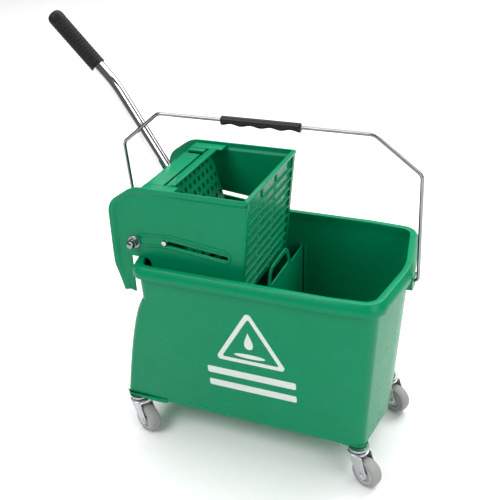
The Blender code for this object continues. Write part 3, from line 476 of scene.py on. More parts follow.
def make_bucket():
    """The tub, the lugs that hold the bail, the fittings inside, and the pads over the casters."""
    tub = solid("bucket_shell", [tub_surface()])
    moulded(tub, "bucket", "bucket_tub", 24)
    foot_z, head_z = PIVOT_Z - LUG_DROP, WALL_TOP_Z + 0.0005
    lug = fillet([(-LUG_FOOT_HALF, foot_z), (LUG_FOOT_HALF, foot_z), (LUG_HEAD_HALF, head_z),
        (-LUG_HEAD_HALF, head_z)], [0.004, 0.004, 0, 0])
    lugs = [slab(lug, END_RIGHT - LUG_INSIDE, END_RIGHT + LUG_PROUD, "yz", 0.0008),
        slab(lug, -PIVOT_X + LUG_INSIDE, -END_LEFT + LUG_INSIDE, "yz", 0.0008)]
    moulded(soften(solid("bail_lugs", lugs), 0.0006), "bucket", "bucket_tub")
    fittings, pads = [], []
    for side in (-1, 1):
        y0, y1 = sorted((side * LEDGE_Y[0], side * LEDGE_Y[1]))
        ledge_top = GRID_Z - 0.0003
        fittings.append(block((LEDGE_X[0], y0, LEDGE_FOOT_Z), (LEDGE_X[1], y1, ledge_top), 0.0012))
        channel = [(side * y, z) for y, z in CHANNEL]
        for offset in CHANNEL_OFFSETS:
            x = DIVIDER_X + offset
            fittings.append(slab(channel, x, x + CHANNEL_RIB, "yz", 0.0004))
        for corners, radii, high in PADS:
            outline = fillet([(x, side * y) for x, y in corners], radii)
            rows = [lay(inset(outline, d), BASE_Z + z, "xy") for d, z in
                ((0.0012, 0), (0.0003, 0.0004), (0, 0.0015), (0.0005, high * 0.6), (0.003, high))]
            pads.append((np.stack(rows), False))
    moulded(solid("divider_channels_and_ledges", fittings), "bucket", "bucket_tub")
    moulded(solid("caster_pads", pads), "bucket", "bucket_tub")


# ---- safety mark
# Everything is given as (x, z) on the near wall.
TRIANGLE = ((-0.054, 0.1965), (0.067, 0.1965), (0.0085, 0.301))
TRIANGLE_BORDER = ((0.0125, 0.0072), (-0.0125, 0.0072), (0, -0.0145))
DROP_CENTRE, DROP_HALF_WIDE, DROP_HALF_HIGH = (0.006, 0.243), 0.0105, 0.0165
PUDDLE_CENTRE, PUDDLE_HALF_WIDE, PUDDLE_HALF_HIGH = (0.006, 0.2125), 0.026, 0.0042
BARS = ((-0.07, 0.08, 0.164, 0.1775), (-0.069, 0.08, 0.1375, 0.1505))  # two x, then two z
INK_THICK, INK_SUNK = 0.00012, 0.0002


def on_near_side(points, lift):
    """Flat marks given as (x, z), laid on the near wall, which leans out towards its top."""
    y = -mix(HALF_WIDTH, wall_share(points[:, 1])) - lift
    return np.stack([points[:, 0], y, points[:, 1]], -1)


def printed(outline, hole=None):
    """A closed film of ink on the near wall: a ring if it has a hole, or else a patch."""
    rows = [on_near_side(outline, -INK_SUNK), on_near_side(outline, INK_THICK)]
    if hole is None:
        return np.stack(rows), False
    rows += [on_near_side(hole, INK_THICK), on_near_side(hole, -INK_SUNK)]
    return np.stack(rows), True


def make_safety_mark():
    """A plain warning triangle round a water drop over a puddle, and two plain bars below it."""
    outer = fillet(TRIANGLE, [0.006] * 3, 8)
    inner = fillet([(x + dx, z + dz) for (x, z), (dx, dz) in zip(TRIANGLE, TRIANGLE_BORDER)],
        [0.0025] * 3, 8)
    angle = np.linspace(0, TURN, 40, endpoint=False)
    drop = np.stack([DROP_CENTRE[0] + DROP_HALF_WIDE * np.sin(angle) * np.sin(angle / 2) ** 1.6,
        DROP_CENTRE[1] + DROP_HALF_HIGH * np.cos(angle)], -1)
    puddle = oval(PUDDLE_CENTRE, PUDDLE_HALF_WIDE, PUDDLE_HALF_HIGH, 40)
    bars = [fillet([(x0, z0), (x1, z0), (x1, z1), (x0, z1)], [0.003] * 4) for x0, x1, z0, z1 in BARS]
    marks = [printed(outer, inner), printed(drop), printed(puddle)] + [printed(bar) for bar in bars]
    dress(solid("safety_mark", marks), WHITE_INK, "bucket")


# ---- divider
DIVIDER_THICK, DIVIDER_PLAY_TOP, DIVIDER_PLAY_FOOT = 0.003, 0.0015, 0.0022
FINGER_HOLE = ((-0.04, 0.299), (0.04, 0.299), (0.033, 0.322), (-0.033, 0.322))


def make_divider():
    """The sheet that parts clean water from dirty, with a raised handle and its finger hole."""
    top = mix(HALF_WIDTH, wall_share(DIVIDER_TOP_Z)) - WALL - DIVIDER_PLAY_TOP
    foot, foot_z = HALF_WIDTH[0] - WALL - DIVIDER_PLAY_FOOT, BASE_Z + 0.0055
    grip, rise = DIVIDER_HANDLE_HALF, DIVIDER_HANDLE_Z
    points = [(-foot, foot_z), (foot, foot_z), (top, DIVIDER_TOP_Z), (grip, DIVIDER_TOP_Z),
        (grip - 0.012, rise), (-grip + 0.012, rise), (-grip, DIVIDER_TOP_Z), (-top, DIVIDER_TOP_Z)]
    outline = fillet(points, [0.006, 0.006, 0.002, 0.006, 0.02, 0.02, 0.006, 0.002], 8)
    x0, x1 = DIVIDER_X - DIVIDER_THICK / 2, DIVIDER_X + DIVIDER_THICK / 2
    plate = solid("divider_panel", [slab(outline, x0, x1, "yz")])
    finger = fillet(FINGER_HOLE, [0.004, 0.004, 0.012, 0.012])
    carve(plate, solid("finger_cutter", [slab(finger, x0 - CUT_PAST, x1 + CUT_PAST, "yz")]))
    moulded(soften(plate, 0.0009), "divider", "divider_plate")


# ---- wringer housing
EDGE_POINTS = ((-0.2145, 0.284), (-0.2255, 0.33), (-0.2235, 0.44), (-0.178, HEAD_Z),
    (FRONT_TOP_X, HEAD_Z))
EDGE_RADII = (0, 0.03, 0.034, 0.046, 0)
FADE_FOOT_Z, FADE_HIGH = 0.3, 0.055  # where the band's rise fades out along the hook
BAND_SHARES = (1.0, 0.86, 0.72, 0.58, 0.44, 0.3, 0.16, 0.05, 0.0)
LAP = 0.0002  # how far faces that meet are drawn apart or sunk into each other
# The panel's lower edge, up over the rim and down inside the hook.
STEP = ((-0.156, GRID_Z), (-0.161, 0.3503), (-0.1945, 0.3503), (-0.1945, 0.2842),
    (-0.205, 0.25), (-0.17, 0.24))
SLOT_HIGH, SLOT_END_PLAY = 0.0084, 0.0005
BEAD_LEVEL = ((-0.176, 0.3808), (-0.124, 0.3855), (-0.0335, 0.3725))  # back, past the axle, front
BEAD_LOWER_BEND = (-0.127, 0.3845)
BEAD_OUTER, BEAD_INNER, BEAD_ROOT, BEAD_PROUD = 0.0108, 0.0072, 0.0016, 0.0018
AXLE_BORE = 0.0053
RIB_DROP, RIB_OUT, HOLE_HALF, HOLE_HIGH = 0.028, 0.0034, 0.006, 0.0088
FRAME_HALF = 0.0985  # half the width between the side panels' inner faces
BRIDGE = ((-0.225, 0.3513), (-0.158, 0.3513), (-0.158, 0.34), (-0.1562, 0.293), (-0.15, 0.293),
    (-0.15, 0.3565), (-0.2222, 0.3565), (-0.2222, 0.415), (-0.224, 0.413))


def front_x(z):
    """Where the leaning front wall's face is at a height."""
    return FRONT_TOP_X - (HEAD_Z - z) * FRONT_SLOPE


def smooth_step(t):
    return t * t * (3 - 2 * t)


def panel_edge():
    """The panel's free edge as (x, z), from the foot of the hook up the back and along the top."""
    return densified(bent_line(EDGE_POINTS, EDGE_RADII, 20), 0.006)


def moved_in(line, distance):
    """An open (x, z) line moved to its right by a distance, which may differ from point to point."""
    way = np.gradient(line, axis=0)
    way /= np.linalg.norm(way, axis=1, keepdims=True)
    return line + np.stack([way[:, 1], -way[:, 0]], -1) * np.broadcast_to(distance, len(line))[:, None]


def flared_band(side):
    """The band along a panel's free edge: from its inner border it rises by a smooth step over half
    its width to a flat lip, and it fades out along the hook."""
    edge = panel_edge()
    fade = smooth_step(np.clip((edge[:, 1] - FADE_FOOT_Z) / FADE_HIGH, 0, 1))
    share = np.array(BAND_SHARES)
    rise = smooth_step(np.clip((1 - share) / 0.5, 0, 1)) * (PANEL_OUT - PANEL_SKIN)
    skin = [lay(moved_in(edge, s * BAND), side * (PANEL_SKIN - LAP + r * fade), "xz")
        for s, r in zip(share, rise)]
    back = [lay(moved_in(edge, s * BAND), side * (PANEL_IN + np.maximum(r * fade - LAP, 0)), "xz")
        for s, r in zip(share[::-1], rise[::-1])]
    return np.stack(skin + back, 1), False


def panel_plate(side):
    """The flat skin inside the band, down to the hook and the foot."""
    inner = moved_in(panel_edge(), BAND * 0.94)
    front = [(FRONT_TOP_X - LAP, inner[-1, 1]), (front_x(GRID_Z) + 0.0001, GRID_Z)]
    step = fillet(STEP, [0.012, 0.01, 0.003, 0.002, 0, 0], 8)[:-2]
    outline = np.concatenate([inner[:-1], front, step])
    y0, y1 = sorted((side * PANEL_IN, side * (PANEL_SKIN - LAP)))
    return slab(outline, y0, y1, "xz")


def slot_shape(start, end, height):
    """A stadium from start to end, as (x, z)."""
    along = unit(end - start)[[0, 2]]
    across = np.array([-along[1], along[0]])
    angle = np.linspace(math.pi / 2, -math.pi / 2, 9)[:, None]
    arms = (np.cos(angle) * along + np.sin(angle) * across) * height / 2
    return np.concatenate([end[[0, 2]] + arms, start[[0, 2]] - arms])


def bead_outline(width):
    """A line round the slot at half the bead's width: level past the axle, then down along the slot."""
    back, bend, (front_end, front_z) = BEAD_LEVEL
    end = front_end + width
    points = [(back[0], back[1] + width), (bend[0], bend[1] + width), (end, front_z + width),
        (end, front_z - width), (BEAD_LOWER_BEND[0], BEAD_LOWER_BEND[1] - width),
        (back[0], back[1] - width)]
    return fillet(points, [0.002, 0.02, width * 0.97, width * 0.97, 0.02, 0.002], 10)


def make_panels():
    """Each side panel: its flared band, its plate with the slot and the bore, and the slot's bead."""
    slot = slot_shape(ROD, SLOT_END + unit(SLOT_END - ROD) * SLOT_END_PLAY, SLOT_HIGH)
    outer, inner = bead_outline(BEAD_OUTER), bead_outline(BEAD_INNER)
    base, crest = PANEL_SKIN - BEAD_ROOT, PANEL_SKIN + BEAD_PROUD
    shapes = ((outer, base), (inset(outer, 0.0002), crest - 0.0007), (inset(outer, 0.0008), crest),
        (inset(inner, -0.0008), crest), (inset(inner, -0.0002), crest - 0.0007), (inner, base))
    for side, name in ((-1, "near"), (1, "far")):
        band = solid(f"wringer_panel_band_{name}", [flared_band(side)])
        moulded(band, "wringer", "wringer_housing", 40)
        panel = solid(f"wringer_panel_{name}", [panel_plate(side)])
        y0, y1 = sorted((side * 0.08, side * 0.12))
        bore = turned([(0, y0), (AXLE_BORE, y0), (AXLE_BORE, y1), (0, y1)], AXLE, (0, 1, 0), 32)
        carve(panel, solid("slot_cutter", [slab(slot, y0, y1, "xz")]), solid("bore_cutter", [bore]))
        moulded(soften(panel, 0.0005), "wringer", "wringer_housing", 24)
        rows = [lay(shape, side * depth, "xz") for shape, depth in shapes]
        bead = solid(f"slot_bead_{name}", [(np.stack(rows), True)])
        moulded(bead, "wringer", "wringer_housing", 50)


def lean(surface):
    """Moves points drawn at the top of the front wall back by the wall's lean at their height."""
    points, wraps = surface
    points[..., 0] -= (HEAD_Z - points[..., 2]) * FRONT_SLOPE
    return points, wraps


def make_grille():
    """The front wall: a rounded head rail, one shelf-like rib a row, and slots under each rib."""
    x0, x1 = FRONT_TOP_X - WALL, FRONT_TOP_X
    low, high = GRID_Z, HEAD_Z - 0.001
    half = PANEL_SKIN - 0.0008
    wall = solid("grille_wall", [lean(block((x0, -half, low), (x1, half, high)))])
    rib_heights = [HEAD_Z - RIB_DROP - RIB_PITCH * i for i in range(RIB_COUNT)]
    spans = [(z - 0.0012 - HOLE_HIGH, z - 0.0012) for z in rib_heights]
    spans.append((HEAD_Z - 0.0245, HEAD_Z - 0.0075))
    cutters = [lean(block((x0 - CUT_PAST, y - HOLE_HALF, z0), (x1 + CUT_PAST, y + HOLE_HALF, z1)))
        for y in HOLE_COLUMNS for z0, z1 in spans]
    carve(wall, solid("hole_cutters", cutters))
    moulded(soften(wall, 0.0004), "wringer", "wringer_housing")
    front = x1 + RIB_OUT
    ribs = []
    for z in rib_heights:
        section = [(x0 + 0.001, z - 0.0004), (front, z - 0.0001), (front, z + 0.0016),
            (x0 + 0.001, z + 0.0026)]
        section = fillet(section, [0, 0.0006, 0.0006, 0], 3)
        ribs.append(lean(slab(section, -0.0925, 0.0925, "xz", 0.0005)))
    for side in (-1, 1):
        y0, y1 = sorted((side * 0.0915, side * 0.1))
        ribs.append(lean(block((x0 + 0.001, y0, low + 0.001), (front, y1, high - 0.004), 0.001)))
    moulded(solid("grille_ribs", ribs), "wringer", "wringer_housing")
    foot, back = high - 0.005, x0 - 0.0006
    section = fillet([(back, foot), (front, foot), (front, HEAD_Z), (back, HEAD_Z)],
        [0.001, 0.0016, 0.0022, 0.0016], 5)
    rail = slab(section, -PANEL_OUT + 0.0006, PANEL_OUT - 0.0006, "xz", 0.0012)
    moulded(solid("grille_head_rail", [rail]), "wringer", "wringer_housing")


def make_housing_inside():
    """The floor grid, the bridge that rests on the rim, and the two shelves at the back's top."""
    z0, z1 = GRID_Z, GRID_Z + WALL
    grid = block((-0.153, -FRAME_HALF, z0), (front_x(z1) - 0.001, FRAME_HALF, z1))
    floor = solid("wringer_floor", [grid])
    pitch_x, pitch_y = 0.028, 0.034
    cutters = [block((-0.13 + pitch_x * i, -0.08 + pitch_y * j, z0 - CUT_PAST),
        (-0.114 + pitch_x * i, -0.056 + pitch_y * j, z1 + CUT_PAST))
        for i in range(4) for j in range(5)]
    carve(floor, solid("drain_cutters", cutters))
    moulded(soften(floor, 0.0005), "wringer", "wringer_housing", finish=DEEP_GREEN)
    section = fillet(BRIDGE, [0.002, 0, 0, 0, 0, 0.002, 0.002, 0.001, 0.001], 4)
    bridge = slab(section, -FRAME_HALF, FRAME_HALF, "xz", 0.0006)
    shelves = [block((-0.1675, low, 0.4652), (-0.112, high, 0.4678), 0.0008)
        for low, high in ((-FRAME_HALF, -0.0779), (0.0779, FRAME_HALF))]
    moulded(solid("wringer_bridge", [bridge] + shelves), "wringer", "wringer_housing")


# ---- axle ends
# Profiles of (radius, height) from the panel's face outwards.
WASHER = ((AXLE_BORE, 0), (0.01, 0), (0.0102, 0.0003), (0.0102, 0.0013), (0.0099, 0.0016),
    (AXLE_BORE, 0.0016))
NUT = ((AXLE_BORE, 0), (0.0076, 0), (0.0082, 0.0007), (0.0082, 0.0055), (0.0076, 0.0063),
    (0.0068, 0.0066), (0.0066, 0.0095), (0.006, 0.012), (0.0047, 0.0138), (0.0026, 0.0147), (0, 0.015),
    (0, 0.0118), (AXLE_BORE, 0.011))
NUT_FLAT, NUT_FLATS_HIGH = 0.0071, 0.0064  # centre to flat, and how high the flats go
NUT_LIFT = 0.0019


def hexagon(radius, angle, height):
    """Six flats cut into the nut's rows near its foot, and left round above them."""
    across = NUT_FLAT / np.cos((angle % (TURN / 6)) - TURN / 12)
    flat = (height < NUT_FLATS_HIGH) & (radius > AXLE_BORE + LAP)
    return np.where(flat, np.minimum(radius, across), radius)


def make_axle():
    """A washer and a domed nut on each end of the lever's axle."""
    for side, name in ((-1, "near"), (1, "far")):
        centre = AXLE + np.array([0, side * (PANEL_SKIN + 0.0003), 0])
        washer = solid(f"washer_{name}", [turned(WASHER, centre, (0, side, 0), 48)])
        dress(washer, WIRE_CHROME, "wringer", [f"axle_washer_{name}"])
        points = turned(NUT, centre + np.array([0, side * NUT_LIFT, 0]), (0, side, 0), 96, hexagon)[0]
        nut = solid(f"acorn_nut_{name}", [(points, True)])
        dress(nut, WIRE_CHROME, "wringer", [f"axle_nut_{name}"], 30)


# ---- press plate
# Sizes before the lean, about the guide rod.
PLATE_BACK = PLATE_FACE - 0.0045
HOLE_PITCH, HOLE_ROWS, HOLES_A_ROW = 0.0155, 9, 10
FIRST_HOLE_DROP, FIRST_HOLE_Y, LAST_HOLE_Y, ROD_CLEAR = 0.012, -0.07, 0.0715, 0.006
BOSS = ((PLATE_BACK + 0.001, 0.0095), (0.004, 0.0075), (-0.0075, 0.004), (-0.0075, -0.004),
    (0.004, -0.0075), (PLATE_BACK + 0.001, -0.0095))
BOSS_SPANS = ((-0.0768, -0.062), (-0.008, 0.008), (0.062, 0.0768))
WEB_Y, WEB_THICK = 0.0745, 0.0024


def leaned(surface):
    """Turns points drawn upright about the guide rod to the plate's rest lean."""
    points, wraps = surface
    cos, sin = math.cos(-PLATE_LEAN), math.sin(-PLATE_LEAN)
    x, z = points[..., 0].copy(), points[..., 2].copy()
    points[..., 0] = ROD[0] + x * cos + z * sin
    points[..., 2] = ROD[2] - x * sin + z * cos
    return points, wraps


def make_press_plate():
    """The perforated plate that presses the mop, with a flanged head and bosses round the rod."""
    face, back = PLATE_FACE, PLATE_BACK
    plate = block((back, -PLATE_HALF, -PLATE_FOOT), (face, PLATE_HALF, PLATE_TOP - 0.0005))
    plate = solid("press_plate_face", [leaned(plate)])
    holes = []
    for row in range(HOLE_ROWS):
        z = PLATE_TOP - FIRST_HOLE_DROP - HOLE_PITCH * row
        for k in range(HOLES_A_ROW):
            y = FIRST_HOLE_Y + HOLE_PITCH * k + HOLE_PITCH / 2 * (row % 2)
            if y > LAST_HOLE_Y or abs(z) < ROD_CLEAR:
                continue
            shape = oval((y, z), 0.0035, 0.0048, 16)
            holes.append(leaned(slab(shape, back - CUT_PAST, face + CUT_PAST, "yz")))
    carve(plate, solid("perforation_cutters", holes))
    moulded(soften(plate, 0.0005), "press", "press_plate", finish=DEEP_GREEN)
    foot, front = PLATE_TOP - 0.004, face + 0.012
    flange = fillet([(back, foot), (front, foot), (front, PLATE_TOP), (back, PLATE_TOP)],
        [0.0005, 0.0012, 0.0014, 0.0008], 4)
    parts = [slab(flange, -PLATE_HALF, PLATE_HALF, "xz", 0.001)]
    boss = fillet(BOSS, [0, 0.003, 0.005, 0.005, 0.003, 0], 4)
    parts += [slab(boss, y0, y1, "xz", 0.0004) for y0, y1 in BOSS_SPANS]
    web = [(face - 0.001, PLATE_TOP - 0.003), (face - 0.001, PLATE_TOP - 0.02),
        (face + 0.009, PLATE_TOP - 0.003)]
    parts += [slab(web, y - WEB_THICK / 2, y + WEB_THICK / 2, "xz") for y in (-WEB_Y, WEB_Y)]
    moulded(solid("press_plate_head", [leaned(part) for part in parts]), "press", "press_plate")


# ---- lever
TUBE_BEND_RADIUS, TUBE_WALL = 0.16, 0.0015
RING_PITCH, RING_DEEP, FLUTES, FLUTE_DEEP, GROOVE_FADE = 0.0052, 0.00045, 30, 0.0004, 0.004
GRIP_PLAY = 0.0003  # between the grip or the socket and the tube
STRIP_BACK_X, STRIP_FRONT_X = -0.1675, -0.1387
POCKET = (0.052, 0.0645)  # the gap in the top strip, along y
RIB_Y = ((0.002, 0.0036), (0.017, 0.003))  # outer webs from the end and inner webs from the middle
SOCKET_DEEP = 0.052


def tube_line():
    """The tube's foot, bend and tip, and its direction below and above the bend."""
    low_way = np.array([-math.sin(TUBE_LEAN), 0, math.cos(TUBE_LEAN)])
    high_way = np.array([-math.sin(TUBE_BEND_LEAN), 0, math.cos(TUBE_BEND_LEAN)])
    bottom = TUBE_AT + low_way * (TUBE_BOTTOM_Z - TUBE_AT[2]) / low_way[2]
    corner = TUBE_AT + low_way * (TUBE_BEND_Z - TUBE_AT[2]) / low_way[2]
    tip = corner + high_way * ((LEVER_TIP - corner) @ high_way)
    return bottom, corner, tip, low_way, high_way


def groove(phase):
    """From 0 on a land to 1 at a groove's middle, once a turn of the phase."""
    return (0.5 - 0.5 * np.cos(phase)) ** 3


def flutes(radius, angle, height):
    """Shallow grooves along the grip that fade out at both ends."""
    inside_ends = np.clip(np.minimum(height - 0.005, GRIP_LENGTH - 0.015 - height) / GROOVE_FADE, 0, 1)
    deep = FLUTE_DEEP * groove(FLUTES * angle)
    return np.where(radius > TUBE_RADIUS + 0.001, radius - deep * inside_ends, radius)


def make_lever():
    """The bent tube, its ribbed and fluted grip, and the rocker that holds it."""
    bottom, corner, tip, low_way, high_way = tube_line()
    line = bent_line([bottom, corner, tip - high_way * 0.004], [0, TUBE_BEND_RADIUS, 0], 14)
    line = densified(line, 0.008)
    skin = swept(line, TUBE_RADIUS, 48)[0]
    core = swept(line, TUBE_RADIUS - TUBE_WALL, 48)[0]
    tube = solid("lever_tube_chromed", [(np.concatenate([skin, core[::-1]]), True)])
    dress(tube, TUBE_CHROME, "lever", ["lever_tube"], 50)

    start = tip - high_way * (GRIP_LENGTH - 0.0045)
    shoulder, skin_radius = GRIP_LENGTH - 0.01, GRIP_RADIUS - 0.0002
    along = np.linspace(0.0015, shoulder, 190)
    rings = RING_DEEP * groove(TURN * along / RING_PITCH)
    ends = np.clip(np.minimum(along - 0.004, GRIP_LENGTH - 0.014 - along) / GROOVE_FADE, 0, 1)
    body = np.stack([skin_radius - rings * ends, along], -1)
    turn = np.linspace(0, math.pi / 2, 9)[1:]
    dome = np.stack([skin_radius - 0.0075 * (1 - np.cos(turn)), shoulder + 0.0098 * np.sin(turn)], -1)
    bore, bore_end = TUBE_RADIUS + GRIP_PLAY, GRIP_LENGTH - 0.0035
    inside = [(0, GRIP_LENGTH + 0.0001), (0, bore_end), (bore, bore_end), (bore, 0.0),
        (GRIP_RADIUS - 0.0012, 0.0), (GRIP_RADIUS - 0.0004, 0.0005)]
    points = turned(np.concatenate([body, dome, inside]), start, high_way, 180, flutes)[0]
    grip = solid("lever_grip_ribbed", [(points, True)])
    dress(grip, BLACK_RUBBER, "lever", ["lever_grip"], 60)
    make_yoke(bottom, low_way)


def make_yoke(bottom, low_way):
    """The moulded rocker: top strip with a pocket at its far end, back plate, webs, hub and socket."""
    top, half = HEAD_Z - 0.0035, YOKE_HALF
    strip = fillet([(STRIP_BACK_X, top - 0.0042), (STRIP_FRONT_X, top - 0.004), (STRIP_FRONT_X, top),
        (STRIP_BACK_X, top)], [0.0008, 0.0008, 0.0012, 0.0016], 4)
    back = fillet([(-0.2, 0.3845), (-0.1967, 0.3835), (-0.164, top - 0.004), (-0.166, top - 0.0006)],
        [0.001, 0.001, 0, 0], 4)
    web = fillet([(-0.1655, top - 0.0018), (-0.1975, 0.387), (-0.188, 0.368), (-0.178, 0.372),
        (-0.149, 0.43), (-0.1402, top - 0.0018)], [0, 0.006, 0.004, 0.004, 0.01, 0.002], 4)
    parts = [slab(strip, -half, POCKET[0], "xz", 0.0008), slab(strip, POCKET[1], half, "xz", 0.0008),
        slab(back, -half, half, "xz", 0.0006)]
    (from_end, outer_thick), (inner_y, inner_thick) = RIB_Y
    for side in (-1, 1):
        for y, thick in ((side * (half - from_end), outer_thick), (side * inner_y, inner_thick)):
            parts.append(slab(web, y - thick / 2, y + thick / 2, "xz", 0.0005))
    parts.append(slab(web, POCKET[0] - 0.0015, POCKET[0] + 0.0015, "xz", 0.0005))
    hub = turned([(AXLE_BORE, -half), (0.012, -half), (0.0125, -half + 0.0006), (0.0125, half - 0.0006),
        (0.012, half), (AXLE_BORE, half)], AXLE, (0, 1, 0), 48)
    inner = TUBE_RADIUS + GRIP_PLAY
    socket = turned([(inner, 0.0), (inner, SOCKET_DEEP), (0.0132, SOCKET_DEEP),
        (0.0138, SOCKET_DEEP - 0.0006), (0.0138, -0.0022), (0.013, -0.003), (0, -0.003),
        (0, 0.0)][::-1], bottom, low_way, 48)
    moulded(solid("lever_rocker", parts + [hub, (socket[0], True)]), "lever", "lever_yoke")


# ---- bail
BAIL_POINTS = ((PIVOT_X, 0), (PIVOT_X, BAIL_SHOULDER), (BAIL_TOP_HALF, BAIL_TOP))  # right half, x and z
BAIL_RADII = (0.0065, 0.014, 0.02)
BAIL_CLEAR = 0.0015  # from the wall to the wire's end
BAIL_GRIP_RADIUS, FINGER_DEEP, FINGERS, UNDER_SWELL = 0.0063, 0.0013, 4, 0.0004


def bail_points(points):
    """Leans points drawn upright about the pivot line towards the near side."""
    points = np.asarray(points, float)
    y = points[..., 1] * math.cos(BAIL_LEAN) - points[..., 2] * math.sin(BAIL_LEAN)
    z = points[..., 1] * math.sin(BAIL_LEAN) + points[..., 2] * math.cos(BAIL_LEAN)
    return np.stack([points[..., 0], y, PIVOT_Z + z], -1)


def make_bail():
    """The bent wire with its ends in the lugs, and its grip with finger hollows underneath."""
    right = [(x, 0, z) for x, z in BAIL_POINTS]
    left = [(-x, 0, z) for x, z in BAIL_POINTS[::-1]]
    ends = [(END_RIGHT + BAIL_CLEAR, 0, 0)], [(-(END_LEFT + BAIL_CLEAR), 0, 0)]
    line = bent_line(ends[0] + right + left + ends[1], (0, *BAIL_RADII, *BAIL_RADII[::-1], 0), 7)
    points = swept(densified(line, 0.012), BAIL_WIRE / 2, 24)[0]
    wire = solid("bail_wire_bent", [(bail_points(points), False)])
    dress(wire, WIRE_CHROME, "bail", ["bail_wire"], 50)

    x = np.linspace(-BAIL_GRIP_HALF, BAIL_GRIP_HALF, 121)
    share = (x + BAIL_GRIP_HALF) / (2 * BAIL_GRIP_HALF)
    angle = np.arange(40) * TURN / 40
    ends = np.sqrt(np.clip(1 - (1 - np.minimum(share, 1 - share) / 0.012).clip(0) ** 2, 0.0, 1))
    under = np.clip(-np.sin(angle), 0, 1)[None, :] ** 0.7
    hollows = FINGER_DEEP * np.cos(TURN * FINGERS * share)[:, None] * under
    radius = (BAIL_GRIP_RADIUS + hollows) * (0.8 + 0.2 * ends)[:, None]
    radius = radius + UNDER_SWELL * under
    grip = np.stack([np.repeat(x[:, None], 40, 1), 0.94 * radius * np.cos(angle),
        BAIL_TOP + radius * np.sin(angle)], -1)
    bore = BAIL_WIRE / 2 + GRIP_PLAY
    holes = [np.stack([np.full(40, end), bore * np.cos(angle), BAIL_TOP + bore * np.sin(angle)], -1)
        for end in (BAIL_GRIP_HALF, -BAIL_GRIP_HALF)]
    grip = solid("bail_grip_moulded", [(bail_points(np.concatenate([grip, holes])), True)])
    dress(grip, BLACK_PLASTIC, "bail", ["bail_grip"], 50)


# ---- casters
# Profiles of (radius, distance along the axle), and for the last two of (radius, height).
TYRE_SHOULDER = ((0.0231, 0.0084), (0.0222, 0.0096), (0.021, 0.01), (0.0172, 0.0098))
HUB_SIDE = ((0.0169, 0.0098), (0.0148, 0.0098), (0.0142, 0.0094), (0.0132, 0.0072), (0.0066, 0.0078),
    (0.0062, 0.0102), (0.0056, 0.0108), (0.0033, 0.0108))
FORK_CROWN = ((0.0043, 0.0575), (0.015, 0.0575), (0.016, 0.0579), (0.0165, 0.0586), (0.0165, 0.0596),
    (0.0158, 0.0602), (0.0145, 0.0605), (0.0043, 0.0605))
SWIVEL_PLATE = ((0.004, 0.0545), (0.0066, 0.0545), (0.007, 0.0549), (0.007, 0.0568), (0.004, 0.0569),
    (0.004, 0.0612), (0.01, 0.0612), (0.0122, 0.0622), (0.0136, 0.0638), (0.015, 0.0662),
    (0.0166, 0.0666), (0.0169, 0.0676), (0.0169, 0.0696), (0, 0.0696), (0, 0.0545))
TREAD_HALF, TREAD_DROP = 0.0075, 0.0016
RIVET_HALF, RIVET_RADIUS, RIVET_HEAD, RIVET_DOME = 0.0138, 0.0029, 0.0046, 0.0019
LEG_IN, LEG_OUT, LEG_HEAD_Z = 0.0116, 0.0134, 0.0592


def mirrored(side):
    """The same profile on the wheel's other side, from its end inwards."""
    return [(radius, -along) for radius, along in side[::-1]]


def yawed(surface, at):
    """Turns points drawn with the wheel trailing along +X to the caster's rest turn."""
    points, wraps = surface
    cos, sin = math.cos(CASTER_YAW), math.sin(CASTER_YAW)
    x, y = points[..., 0].copy(), points[..., 1].copy()
    points[..., 0] = at[0] + x * cos - y * sin
    points[..., 1] = at[1] + x * sin + y * cos
    return points, wraps


def make_caster(name, at):
    """A caster: tyre, hub, riveted axle, fork and the plate it swivels under."""
    axle = np.array([TRAIL, 0, WHEEL_RADIUS])
    sideways = (0, 1, 0)
    wheel, swivel = f"wheel_{name}", f"swivel_{name}"

    def put(piece_name, surfaces, finish, body, node, sharp=32):
        made = solid(f"{piece_name}_{name}", [yawed(surface, at) for surface in surfaces])
        return dress(made, finish, body, [f"{node}_{name}"], sharp)

    turn = np.linspace(-1, 1, 13)
    tread = np.stack([WHEEL_RADIUS - TREAD_DROP * np.abs(turn) ** 3, TREAD_HALF * turn], -1)
    tyre = np.concatenate([mirrored(TYRE_SHOULDER), tread, TYRE_SHOULDER])
    put("tyre", [turned(tyre, axle, sideways, 96)], TYRE_RUBBER, wheel, "caster_tyre", 40)
    hub = mirrored(HUB_SIDE) + list(HUB_SIDE)
    put("hub", [turned(hub, axle, sideways, 72)], HUB_PLASTIC, wheel, "caster_hub")

    rivet = []
    for side in (-1, 1):
        head = [(RIVET_HEAD * math.sin(t), RIVET_HALF + RIVET_DOME * math.cos(t))
            for t in np.linspace(0, math.pi / 2, 6)]
        foot = RIVET_HALF - 0.0001
        rivet.append(turned(head + [(RIVET_HEAD, foot), (0, foot)], axle, (0, side, 0), 32))
    shank = [(0, -RIVET_HALF), (RIVET_RADIUS, -RIVET_HALF), (RIVET_RADIUS, RIVET_HALF), (0, RIVET_HALF)]
    rivet.append(turned(shank, axle, sideways, 24))
    put("axle_rivet", [(points, False) for points, _ in rivet], ZINC, swivel, "caster_axle")

    leg = fillet([(-0.0138, LEG_HEAD_Z), (0.015, LEG_HEAD_Z), (TRAIL + 0.0085, WHEEL_RADIUS + 0.004),
        (TRAIL + 0.0052, WHEEL_RADIUS - 0.0075), (TRAIL - 0.0052, WHEEL_RADIUS - 0.0075)],
        [0, 0.003, 0.01, 0.007, 0.007], 8)
    legs = [slab(leg, *sorted((side * LEG_IN, side * LEG_OUT)), "xz", 0.0004) for side in (-1, 1)]
    crown = turned(FORK_CROWN)
    put("fork", legs + [crown], ZINC, swivel, "caster_fork")
    plate = turned(SWIVEL_PLATE)[0]
    put("swivel_plate", [(plate, True)], ZINC, "bucket", "caster_stem")


